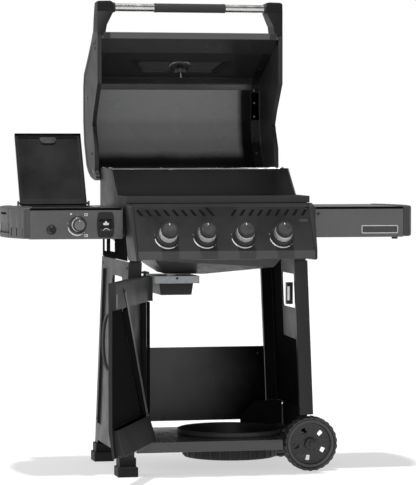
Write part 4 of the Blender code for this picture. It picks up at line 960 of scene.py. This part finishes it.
def lid_flanges():
    """A flange inside each end of the lid, with its screws, and a rubber bumper on the front edge."""
    inside = [Vector(point) for point in rounded(of_lid(LID_INSIDE), 0.02, 5, only=range(2, 9))[1:]]
    outline = [tuple(point) for point in inside] + beside(inside, -0.0022)[::-1]
    for side in (-1, 1):
        piece(sided("lid_flange", side), slab(outline, *span(side, 0.287, 0.3175), "X"), PAINT, "lid",
              bevel=0.0006)
        heads = [((side * 0.299, -s, 0.2105), (0, 0, -1)) for s in (0.195, 0.245, 0.29)]
        heads.append(((side * 0.299, -0.06, 0.1705), (0, 0.5, -0.87)))
        heads.append(((side * 0.299, -0.3665, 0.12), tuple(-SLOPE_OUT)))
        screws(sided("lid_screws", side), heads, SCREW, "lid", radius=0.0048)
        bumper = rounded([(side * x, y) for x, y in rectangle((0.288, 0.312), (-0.4868, -0.464))], 0.004, 4)
        piece(sided("lid_bumper", side), slab(bumper, -0.0804, -0.0775, "Z"), RUBBER, "lid", bevel=0.0012,
              segments=3)


def lid_caps():
    """Cast end caps with a sunk outer panel, and arms that carry the handle."""
    for side in (-1, 1):
        outline = rounded(of_lid(CAP_OUTLINE), 0.016, 5, only=(0, 1, 2, *range(7, 21)))
        cap = slab(outline, *span(side, 0.3187, 0.334), "X")
        sunk = rounded(of_lid([(0.47, -0.062), (0.315, -0.062), (0.22, 0.018), (0.165, 0.05), (0.14, 0.038),
                               (0.076, 0.001), (0.004, -0.003), (-0.016, 0.025), (-0.006, 0.068),
                               (0.01, 0.112), (0.03, 0.145), (0.106, 0.188), (0.182, 0.204), (0.296, 0.204),
                               (0.334, 0.192), (0.385, 0.118), (0.443, 0.04)]), 0.014, 4)
        pressed = slab(sunk, *span(side, 0.332, 0.34), "X")
        piece(sided("lid_cap_cast", side), carved(cap, [pressed]), CAST_PAINT, "lid",
              sided("lid_cap", side), bevel=0.0022, segments=3)
        front = [(0.3335, 0.44), (0.3335, 0.59), (0.328, 0.5965), (0.286, 0.5975), (0.2785, 0.592),
                 (0.2745, 0.578), (0.276, 0.56), (0.3, 0.512), (0.304, 0.488), (0.3187, 0.47),
                 (0.3187, 0.44)]
        arm = slab(rounded([(side * x, -s) for x, s in front], 0.005, 3), -0.12, 0.12, "Z")
        profile = rounded([(-0.44, -0.0795), (-0.56, -0.08), (-0.592, -0.077), (-0.5985, -0.068),
                           (-0.5975, -0.03), (-0.59, -0.02), (-0.575, -0.015), (-0.534, 0.002),
                           (-0.49, 0.012), (-0.44, 0.06)], 0.006, 4)
        side_view = slab(profile, *span(side, 0.25, 0.36), "X")
        piece(sided("handle_arm", side), carved(arm, [side_view], "INTERSECT"), ARM, "lid", bevel=0.0025,
              segments=3)
        spots = ((0.43, -0.02), (0.06, 0.05), (0.26, 0.15))
        screws(sided("cap_bolts", side), [((side * 0.3321, -s, h), (side, 0, 0)) for s, h in spots],
               BLACK_SCREW, "lid", radius=0.006)
        pivot = turned([(0, 0.003), (0.007, 0.003), (0.0095, 0.0012), (0.0095, 0), (0, 0)], 28,
                       facing((side, 0, 0), (side * 0.3335, 0, 0)))
        piece(sided("lid_pivot", side), pivot, SCREW, "lid")


def handle():
    """A steel tube between the arms, with end collars, and a rubber grip with two beads at each end."""
    y, z, r = -0.574, -0.059, 0.014
    along_x = facing((1, 0, 0), (0, y, z))
    end = 0.2785
    bar = turned([(0, end), (r - 0.001, end), (r, end - 0.001), (r, -end + 0.001), (r - 0.001, -end),
                  (0, -end)], 40, along_x)
    piece("handle_bar", bar, STEEL, "lid", "handle_tube", smooth=40)
    half, thick = 0.1285, r + 0.0019
    sleeve = closed_turn([(r + 0.0002, half), (thick - 0.0012, half), (thick, half - 0.0014),
                          (thick, -half + 0.0014), (thick - 0.0012, -half), (r + 0.0002, -half)], 48, along_x)
    piece("handle_grip_sleeve", sleeve, RUBBER, "lid", "handle_grip", smooth=40)
    beads = []
    for x in (0.006 - half, 0.01 - half, half - 0.006, half - 0.01):
        beads.append(closed_turn([(thick + 0.0005, x + 0.0008), (thick + 0.0005, x - 0.0008),
                                  (thick - 0.001, x - 0.0014), (thick - 0.001, x + 0.0014)], 48, along_x))
    piece("handle_grip_beads", gathered(beads), RUBBER, "lid", smooth=40)
    for side in (-1, 1):
        collar = closed_turn([(r + 0.0002, 0.006), (r + 0.003, 0.005), (r + 0.0036, 0.002),
                              (r + 0.0036, -0.004), (r + 0.0002, -0.004)], 40,
                             facing((-side, 0, 0), (side * 0.2735, y, z)))
        piece(sided("handle_collar", side), collar, PLASTIC, "lid")


def thermometer():
    """A dial on the outside of the lid, and its nut and probe on the inside."""
    place = LID @ facing(SLOPE_OUT, DIAL_CENTRE, math.pi)
    bezel = closed_turn([(0.0395, 0.0478), (0.045, 0.048), (0.0468, 0.0462), (0.047, 0.0412),
                         (0.0375, 0.0406), (0.0372, -0.004), (0.035, -0.0042), (0.035, 0.0395),
                         (0.0395, 0.041)], 64)
    piece("dial_bezel", bezel, KNOB_RING, "lid", "lid_thermometer", place=place)
    face = turned([(0, 0.042), (0.0394, 0.042), (0.0394, 0.04), (0, 0.04)], 64)
    piece("dial_face", face, DIAL, "lid", place=place)
    ticks = []
    for i in range(31):
        turn = math.radians(9 * i - 45)
        long = 0.0055 if i % 5 == 0 else 0.003
        tick = block((0.036 - long, -0.00035, 0.042), (0.036, 0.00035, 0.0422))
        ticks.append(moved(tick, about_z(turn)))
    piece("dial_ticks", gathered(ticks), BLACK_SCREW, "lid", place=place)
    needle = slab([(-0.0012, -0.008), (0.0012, -0.008), (0.0008, 0.02), (0, 0.029), (-0.0008, 0.02)],
                  0.0432, 0.0438, "Z")
    needle = moved(needle, about_z(math.radians(120)))
    boss = turned([(0, 0.0455), (0.0025, 0.0453), (0.0032, 0.0445), (0.0032, 0.042), (0, 0.042)], 24)
    piece("dial_needle", gathered([needle, boss]), BLACK_SCREW, "lid", place=place)
    back = turned([(0.037, -0.0015), (0.0385, -0.0045), (0.036, -0.007), (0.033, -0.005), (0.032, -0.002),
                   (0.012, -0.002), (0.011, -0.01), (0.0085, -0.012), (0, -0.012)], 56)
    piece("dial_back", back, GLOSS, "lid", place=place)
    probe = turned([(0.0042, -0.011), (0.0042, -0.02), (0.003, -0.021), (0.003, -0.043), (0.002, -0.0448),
                    (0, -0.0448)], 28)
    piece("dial_probe", probe, STEEL, "lid", place=place)
    wings = [slab(rounded([(s * 0.004, -0.02), (s * 0.019, -0.025), (s * 0.021, -0.012),
                           (s * 0.009, -0.01)], 0.003, 3), -0.0012, 0.0012, "Y") for s in (-1, 1)]
    piece("dial_wing_nut", gathered(wings), ZINC, "lid", place=place, bevel=0.0004)


# ---------------------------------------------------------------- shelves and side burner


def shelf_tops():
    """Both shelves with their end caps and edge bands, a blank badge, a rubber foot and a screw."""
    softened("left_shelf", SHELF, 0.0022, 3)
    softened("right_shelf", SHELF, 0.0022, 3)
    for side, node, body in ((-1, "left_shelf_end_cap", "cart"), (1, "right_shelf_end_cap", "folding_shelf")):
        end_cap(side, node, body)
    softened("right_shelf_bracket", PAINT, 0.0008)
    badge = slab(rectangle((0.498, 0.622), (0.815, 0.8375), 0.0035), -0.0008, 0.0012, "Y")
    ring = slab(rectangle((0.4955, 0.6245), (0.8125, 0.84), 0.0045), -0.0008, 0.0016, "Y",
                [rectangle((0.499, 0.621), (0.816, 0.8365), 0.003)])
    front = CART @ Matrix.Translation((0, -0.0127, 0))
    piece("blank_badge", badge, SHELF_TRIM, "folding_shelf", place=front, bevel=0.0003)
    piece("blank_badge_rim", ring, KNOB_RING, "folding_shelf", place=front, bevel=0.0003)
    for side, body in ((-1, "cart"), (1, "folding_shelf")):
        x = span(side, 0.334, 0.6425)
        # Painted shade: the black edge bands are drawn with almost no shine, their sheen painted out.
        band = slab([(-0.0125, 0.896), (-0.0136, 0.8975), (-0.0136, 0.9015), (-0.0115, 0.9036),
                     (0.004, 0.9036), (0.004, 0.903), (-0.0112, 0.903), (-0.012, 0.896)], *x, "X")
        piece(sided("shelf_edge_band", side), band, PAINTED_SHADE, body, bevel=0.0004)
    foot = turned([(0, 0), (0.009, 0), (0.0105, 0.0015), (0.0105, 0.01), (0, 0.01)], 28,
                  Matrix.Translation((0.622, 0.02, 0.7925)))
    piece("shelf_foot", foot, RUBBER, "folding_shelf")
    screws("right_shelf_screw", [((0.3435, -0.0122, 0.88), (0, -1, 0))], BLACK_SCREW, "folding_shelf",
           radius=0.0055)


def end_cap(side, node, body):
    """Bowed moulding with a finger recess in its face, and grooves and a slot near its front with painted
    shade on their floors.
    """
    front, back, flat, bulge, steps = -0.012, 0.41, 0.665, 0.712, 24

    def reach_at(t):
        return flat + (bulge - flat) * math.sin(math.pi * t) ** 0.8

    bow = [(reach_at(i / steps), front + (back - front) * i / steps) for i in range(steps + 1)]
    plan = rounded([(0.6433, front), *bow, (0.6433, back)], 0.006, 4, only=(1, steps + 1))
    cap = slab([(side * x, y) for x, y in plan], 0.802, 0.9045, "Z")
    level = [e for e in cap.edges if abs(e.verts[0].co.z - e.verts[1].co.z) < 1e-6]
    bmesh.ops.bevel(cap, geom=level, offset=0.0055, segments=4, profile=0.5, affect="EDGES",
                    clamp_overlap=True)
    grip = slab(rectangle((0.075, 0.325), (0.818, 0.852), 0.014), *span(side, 0.6935, 0.76), "X")
    # Painted shade: a black sheet on the floor of each groove and of the slot.
    grooves, floors = [], []
    for y, width, low, high, depth in (
        (-0.0075, 0.0035, 0.81, 0.8385, 0.003), (0.026, 0.0085, 0.81, 0.8385, 0.004),
        (0.066, 0.0105, 0.81, 0.8385, 0.004), (0.0945, 0.006, 0.8035, 0.9035, 0.002),
        (0.15, 0.07, 0.88, 0.888, 0.004),
    ):
        face = reach_at((y - width / 2 - front) / (back - front))
        opening = rectangle((y - width / 2, y + width / 2), (low, high), 0.0012)
        grooves.append(slab(opening, *span(side, face - depth, 0.75), "X"))
        cover = rectangle((y - width / 2 + 0.0003, y + width / 2 - 0.0003), (low + 0.0003, high - 0.0003))
        floors.append(slab(cover, *span(side, face - depth - 0.0004, face - depth + 0.0004), "X"))
    piece(node + "_slots", gathered(floors), PAINTED_SHADE, body)
    # Painted light: the left cap in the lit copy of the plastic, the right cap in the shaded copy.
    look = LIT_CAP_PLASTIC if side < 0 else CAP_SHADED
    piece(node + "_moulding", carved(cap, [grip, *grooves]), look, body, node, bevel=0.0006, segments=1)


def side_burner():
    """Pressed pan with a raised bead, cast burner with ports and a cap, and a cast grate."""
    softened("side_burner", GLOSS, 0.001)
    place = Matrix.Translation((-0.505, 0.219, 0))
    head = turned([(0, 0.8905), (0.026, 0.89), (0.03, 0.8885), (0.0315, 0.8855), (0.03, 0.8838),
                   (0, 0.8838)], 48, place)
    piece("burner_cap", head, IRON, "cart")
    teeth = []
    count = 28
    for i in range(count):
        tooth = block((0.0285, -0.0016, 0.8762), (0.0352, 0.0016, 0.8842))
        teeth.append(moved(tooth, place @ about_z(2 * math.pi * i / count)))
    piece("burner_teeth", gathered(teeth), BRASS, "cart", bevel=0.0003, segments=1)
    plug = turned([(0, 0.8895), (0.0022, 0.889), (0.0026, 0.88), (0.0042, 0.879), (0.0042, 0.8605),
                   (0, 0.8605)], 24, Matrix.Translation((-0.455, 0.19, 0)))
    piece("spark_plug", plug, CERAMIC, "cart")
    softened("side_burner_grate", IRON, 0.0011)


def side_lid():
    """Pressed lid with a rolled edge, a stiffening panel inside and a thumb tab."""
    softened("side_burner_lid", PAINT, 0.0016, 3)
    reach, half = 0.275, 0.1165
    rim, hole = half - 0.0035, half - 0.012
    inside = slab(rectangle((-rim, rim), (-reach + 0.0035, -0.01), 0.006), 0.004, 0.005, "Z",
                  [rectangle((-hole, hole), (-reach + 0.014, -0.02), 0.008)])
    piece("side_lid_frame", inside, PAINT, "side_lid", bevel=0.0004)
    tab = rounded([(-0.028, -reach + 0.012), (0.028, -reach + 0.012), (0.03, -reach + 0.022),
                   (0.022, -reach + 0.036), (-0.022, -reach + 0.036), (-0.03, -reach + 0.022)], 0.009, 5)
    piece("side_lid_tab", slab(tab, 0.0012, 0.0062, "Z"), FUNNEL, "side_lid", bevel=0.0008)
    for side in (-1, 1):
        heads = [((side * (half - 0.008), -reach + 0.007, 0.0038), (0, 0, -1))]
        screws(sided("side_lid_screw", side), heads, SCREW, "side_lid", radius=0.0028)


def shelf_controls():
    """The left shelf's front: burner knob, igniter button, small marks and the ignition rocker."""
    front = CART @ facing((0, -1, 0), (-0.482, -0.012, 0.848))
    knob("side_burner_knob", front, 0.0225, 0.037, 0.029, SCREW)
    dial_marks("side_dial_marks", front, 0.0335)
    spot = CART @ facing((0, -1, 0), (-0.571, -0.012, 0.832))
    collar = closed_turn([(0.0122, 0.003), (0.0135, 0.004), (0.0155, 0.0035), (0.0168, 0.001),
                          (0.0168, 0.0), (0.0122, 0.0)], 40)
    piece("igniter_collar", collar, KNOB, "cart", place=spot)
    button = turned([(0, 0.008), (0.007, 0.0082), (0.0098, 0.0085), (0.0113, 0.007), (0.0115, 0.002),
                     (0.0115, -0.006), (0, -0.006)], 40)
    piece("igniter_cap", button, KNOB, "igniter", "igniter_button", place=spot)
    printed = (-0.00015, 0.00015, "Y")
    marks = [slab(circle((-0.505, 0.884), 0.0032, 16), *printed)]
    for low in (0.878, 0.8085):
        marks.append(slab(rectangle((-0.46, -0.449), (low - 0.001, low + 0.008), 0.0008), *printed,
                          [rectangle((-0.458, -0.451), (low + 0.001, low + 0.006))]))
        marks.append(slab(circle((-0.454, low + 0.003), 0.0012, 12), *printed))
    piece("shelf_marks", gathered(marks), PRINT, "cart", place=CART @ SHELF_FRONT)
    shape = rounded([(-0.413, 0.805), (-0.364, 0.805), (-0.361, 0.822), (-0.359, 0.8465), (-0.361, 0.871),
                     (-0.364, 0.89), (-0.413, 0.89), (-0.416, 0.871), (-0.418, 0.8465), (-0.416, 0.822)],
                    0.008, 4)
    surround = slab(shape, -0.003, 0.0002, "Y", [rectangle((-0.4105, -0.3655), (0.8235, 0.8665), 0.006)])
    piece("rocker_surround", surround, KNOB, "cart", place=CART @ SHELF_FRONT, bevel=0.001, segments=3)
    rocker = slab(rounded([(-0.0235, 0.8245), (-0.012, 0.8245), (0.003, 0.8245), (0.003, 0.8655),
                           (-0.01, 0.8655), (-0.016, 0.856), (-0.0185, 0.845), (-0.0225, 0.834)], 0.003, 3),
                  -0.4098, -0.3662, "X")
    piece("rocker_button", rocker, GLOSS, "rocker", "ignition_rocker", bevel=0.0016, segments=3)
    flame = slab(rounded([(-0.398, 0.8475), (-0.388, 0.842), (-0.378, 0.8475), (-0.379, 0.854),
                          (-0.383, 0.853), (-0.388, 0.863), (-0.393, 0.853), (-0.397, 0.854)], 0.0025, 3),
                 -0.0182, -0.015, "Y")
    curve = []
    for i in range(9):
        turn = math.radians(150 - 15 * i)
        curve.append((-0.388 + 0.0125 * math.cos(turn), 0.824 + 0.012 * math.sin(turn)))
    under = [(x, z - 0.0022) for x, z in curve]
    arc = slab(curve + under[::-1], -0.024, -0.015, "Y")
    piece("rocker_flame_mark", gathered([flame, arc]), PRINT, "rocker")


# ---------------------------------------------------------------- door


DOOR_START, DOOR_END, DOOR_SKIN = -0.0071, 0.5145, -0.007
DOOR_HANDLE_Z = (0.399, 0.575)


def behind_skin(outline, near, far):
    """A sheet behind the door's skin, from one distance to another."""
    return slab(outline, DOOR_SKIN + near, DOOR_SKIN + far, "Y")


def door():
    """Pressed door: a boxed band across its top, a bin at its foot, folded edges, and black sheets and a
    flange of painted shade inside.
    """
    x0, x1, skin = DOOR_START, DOOR_END, DOOR_SKIN
    softened("door_panel", PAINT, 0.0018, 3)
    softened("door_bin", PAINT, 0.001)
    softened("door_catch", PLASTIC, 0.0012)
    strip = slab(rectangle((0.2455, 0.2535), (0.585, 0.633), 0.002), 0.0272, 0.0286, "Y")
    piece("catch_strip", strip, STEEL, "cart", bevel=0.0003)
    band = behind_skin(rectangle((x0 + 0.0025, x1 - 0.0025), (0.5905, 0.6735)), 0.023, 0.0246)
    ledge = block((x0 + 0.0025, skin + 0.003, 0.5905), (x1 - 0.0025, skin + 0.0235, 0.592))
    piece("door_top_band", gathered([band, ledge]), PAINT, "door", bevel=0.0006)
    rail = slab([(skin + 0.0022, 0.207), (skin + 0.0022, 0.589), (skin + 0.01, 0.589), (skin + 0.01, 0.5875),
                 (skin + 0.0036, 0.5855), (skin + 0.0036, 0.21), (skin + 0.01, 0.2085), (skin + 0.01, 0.207)],
                x1 - 0.032, x1 - 0.02, "X")
    piece("door_edge_rail", rail, PAINT, "door", bevel=0.0005)
    # Painted shade: black sheets on the skin beside the strut and along the hinge edge, and a black flange at
    # the hinge.
    shade = [(0.045, 0.2125), (0.335, 0.586), (0.474, 0.586), (0.474, 0.2125)]
    piece("door_inner_shade_sheet", behind_skin(shade, 0.0032, 0.0036), PAINTED_SHADE, "door")
    fold = [(0.002, 0.215), (0.036, 0.215), (0.036, 0.56), (0.05, 0.586), (0.002, 0.586)]
    piece("door_hinge_shade_sheet", behind_skin(fold, 0.0037, 0.0041), PAINTED_SHADE, "door")
    flange = block((x0 + 0.0004, skin + 0.0125, 0.212), (x0 + 0.002, skin + 0.024, 0.588))
    piece("door_hinge_flange_shade", flange, PAINTED_SHADE, "door", bevel=0.0003)
    end = block((x0 + 0.0004, skin + 0.01, 0.5905), (x0 + 0.0022, skin + 0.0335, 0.6735))
    piece("door_band_end", end, PAINT, "door", bevel=0.0004)


def door_strut():
    """A bright strip from the bin's hinge end up to the band, with walls behind it painted black as shade."""
    high, low = Vector((0.39, DOOR_SKIN + 0.0262, 0.6475)), Vector((0.014, DOOR_SKIN + 0.0215, 0.196))
    along = (high - low).normalized()
    across = along.cross(AXES["Y"]).normalized()
    depth = across.cross(along).normalized()
    place = Matrix.Translation(low) @ Matrix((along, across, depth)).transposed().to_4x4()
    length = (high - low).length
    blade = [(-0.01, -0.01), (0.12, -0.009), (length + 0.01, -0.005), (length + 0.01, 0.005), (0.12, 0.009),
             (-0.01, 0.01)]
    strut = moved(slab(rounded(blade, 0.004, 4), -0.0008, 0.0008, "Z"), place)
    # Painted shade: black walls behind the strip.
    deep = [(0.01, -0.015), (length - 0.09, -0.0205), (length - 0.075, -0.0025), (length - 0.004, -0.0006),
            (0.004, -0.0006)]
    walls = gathered([slab(deep, edge - 0.0007, edge + 0.0007, "Y") for edge in (-0.0055, 0.0055)])
    piece("door_strut_shade_walls", moved(walls, place), PAINTED_SHADE, "door")
    piece("door_strut", strut, STRUT, "door", bevel=0.0003, segments=1)
    screws("door_strut_screws",
           [(high + depth * 0.0008, depth), (low + along * 0.02 + depth * 0.0008, depth)],
           BLACK_SCREW, "door", radius=0.0078)


def door_fittings():
    """The catch's plate, washers at both pins, and the handle with its feet."""
    plate = behind_skin(rectangle((0.498, 0.5105), (0.597, 0.64), 0.002), 0.0247, 0.0262)
    piece("door_strike_plate", plate, ZINC, "door", bevel=0.0004)
    washers = [closed_turn([(0.005, z), (0.0095, z), (0.0095, z + 0.0012), (0.005, z + 0.0012)], 28)
               for z in (0.6888, 0.1145)]
    piece("door_hinge_washers", gathered(washers), SCREW, "cart", place=CART @ Matrix.Translation(DOOR_PIN))
    paint_node("door_handle", PLASTIC)
    ends = [turned([(0, 0.0062), (0.0075, 0.006), (0.0095, 0.003), (0.01, 0.0001), (0, 0.0001)], 24,
                   facing((0, -1, 0), (0.4815, DOOR_SKIN, z))) for z in DOOR_HANDLE_Z]
    piece("door_handle_feet", gathered(ends), PLASTIC, "door", smooth=40)


# ---------------------------------------------------------------- set


CAMERA_AT = (-1.931, -8.71 + SHIFT, 1.112)
CAMERA_TILT, CAMERA_TURN = math.radians(90 - 2.1), math.radians(-12.27)
CAMERA_LENS, CAMERA_SENSOR = 196.70103, 36


def in_scene(name, data, at=(0, 0, 0), turn=(0, 0, 0)):
    made = bpy.data.objects.new(name, data)
    made.location = at
    made.rotation_euler = turn
    bpy.context.scene.collection.objects.link(made)
    return made


def aimed(direction):
    """How a light or a camera is turned to look along a direction."""
    return Vector(direction).to_track_quat("-Z", "Y").to_euler()


def light_box(name, at, towards, size, power):
    light = bpy.data.lights.new(name, "AREA")
    light.shape = "RECTANGLE"
    light.size, light.size_y = size
    light.energy = power
    in_scene(name, light, at, aimed(Vector(towards) - Vector(at)))


def studio():
    """A white floor that is nearly its own light, two light boxes, a sun and the photograph's camera."""
    sheet = slab([(-9, -9), (9, -9), (9, 14), (-9, 14)], -0.02, 0.0, "Z")
    floor = in_scene("floor", into_mesh(sheet, "floor"))
    paper = finish_of("floor_paper", (0.5, 0.5, 0.5), 0.9, tone=0.01, bump=0.0, specular=0.0)
    glow = paper.node_tree.nodes["Principled BSDF"]
    glow.inputs["Emission Color"].default_value = (1, 1, 1, 1)
    glow.inputs["Emission Strength"].default_value = 0.56
    floor.data.materials.append(paper)
    surroundings()
    light_box("left_box", (-4.2, -0.6, 1.5), (0, 0, 0.8), (1.6, 2.2), 60)
    light_box("front_box", (-1.2, -6.0, 3.4), (0, 0, 0.9), (2.4, 1.0), 45)
    sun = bpy.data.lights.new("sun", "SUN")
    sun.energy = 2.4
    sun.angle = math.radians(3)
    in_scene("sun", sun, turn=aimed((0.06, 0.12, -1.0)))
    camera = bpy.data.cameras.new("camera")
    camera.sensor_fit = "AUTO"
    camera.sensor_width = CAMERA_SENSOR
    camera.lens = CAMERA_LENS
    camera.clip_start, camera.clip_end = 0.5, 60
    bpy.context.scene.camera = in_scene("camera", camera, CAMERA_AT, (CAMERA_TILT, 0, CAMERA_TURN))
    bpy.context.scene.view_settings.view_transform = "Standard"


def surroundings():
    """White behind the grill. Its reflections see a softer room, pale at the horizon and dim above."""
    world = bpy.data.worlds.new("studio")
    world.use_nodes = True
    nodes, links = world.node_tree.nodes, world.node_tree.links
    seen = nodes["Background"]
    seen.inputs["Color"].default_value = (1, 1, 1, 1)
    seen.inputs["Strength"].default_value = 1.0
    room = nodes.new("ShaderNodeBackground")
    room.inputs["Color"].default_value = (1, 1, 1, 1)
    direction = nodes.new("ShaderNodeTexCoord").outputs["Generated"]
    parts = nodes.new("ShaderNodeSeparateXYZ")
    links.new(direction, parts.inputs["Vector"])
    height = spread(nodes, links, parts.outputs["Z"], 0.0, 1.0, 0.02, 0.42)
    front = spread(nodes, links, parts.outputs["Y"], 0.0, 1.0, -0.45, 0.35)

    def mix(factor, low, high):
        made = nodes.new("ShaderNodeMix")
        made.data_type = "FLOAT"
        links.new(factor, made.inputs["Factor"])
        for socket, value in zip((made.inputs[2], made.inputs[3]), (low, high)):
            if isinstance(value, float):
                socket.default_value = value
            else:
                links.new(value, socket)
        return made.outputs[0]

    in_front = mix(height, 1.0, 0.1)
    behind = mix(height, 0.62, 0.4)
    links.new(mix(front, in_front, behind), room.inputs["Strength"])
    choose = nodes.new("ShaderNodeMixShader")
    links.new(nodes.new("ShaderNodeLightPath").outputs["Is Camera Ray"], choose.inputs["Fac"])
    links.new(room.outputs["Background"], choose.inputs[1])
    links.new(seen.outputs["Background"], choose.inputs[2])
    links.new(choose.outputs["Shader"], nodes["World Output"].inputs["Surface"])
    bpy.context.scene.world = world


side_frames()
boots()
bottom()
cup()
wheels()
firebox()
cooking_grids()
warming_rack()
control_panel()
lid_shell()
lid_painted_light_sheets()
lid_flanges()
lid_caps()
handle()
thermometer()
shelf_tops()
side_burner()
side_lid()
shelf_controls()
door()
door_strut()
door_fittings()
studio()

bpy.context.view_layer.update()
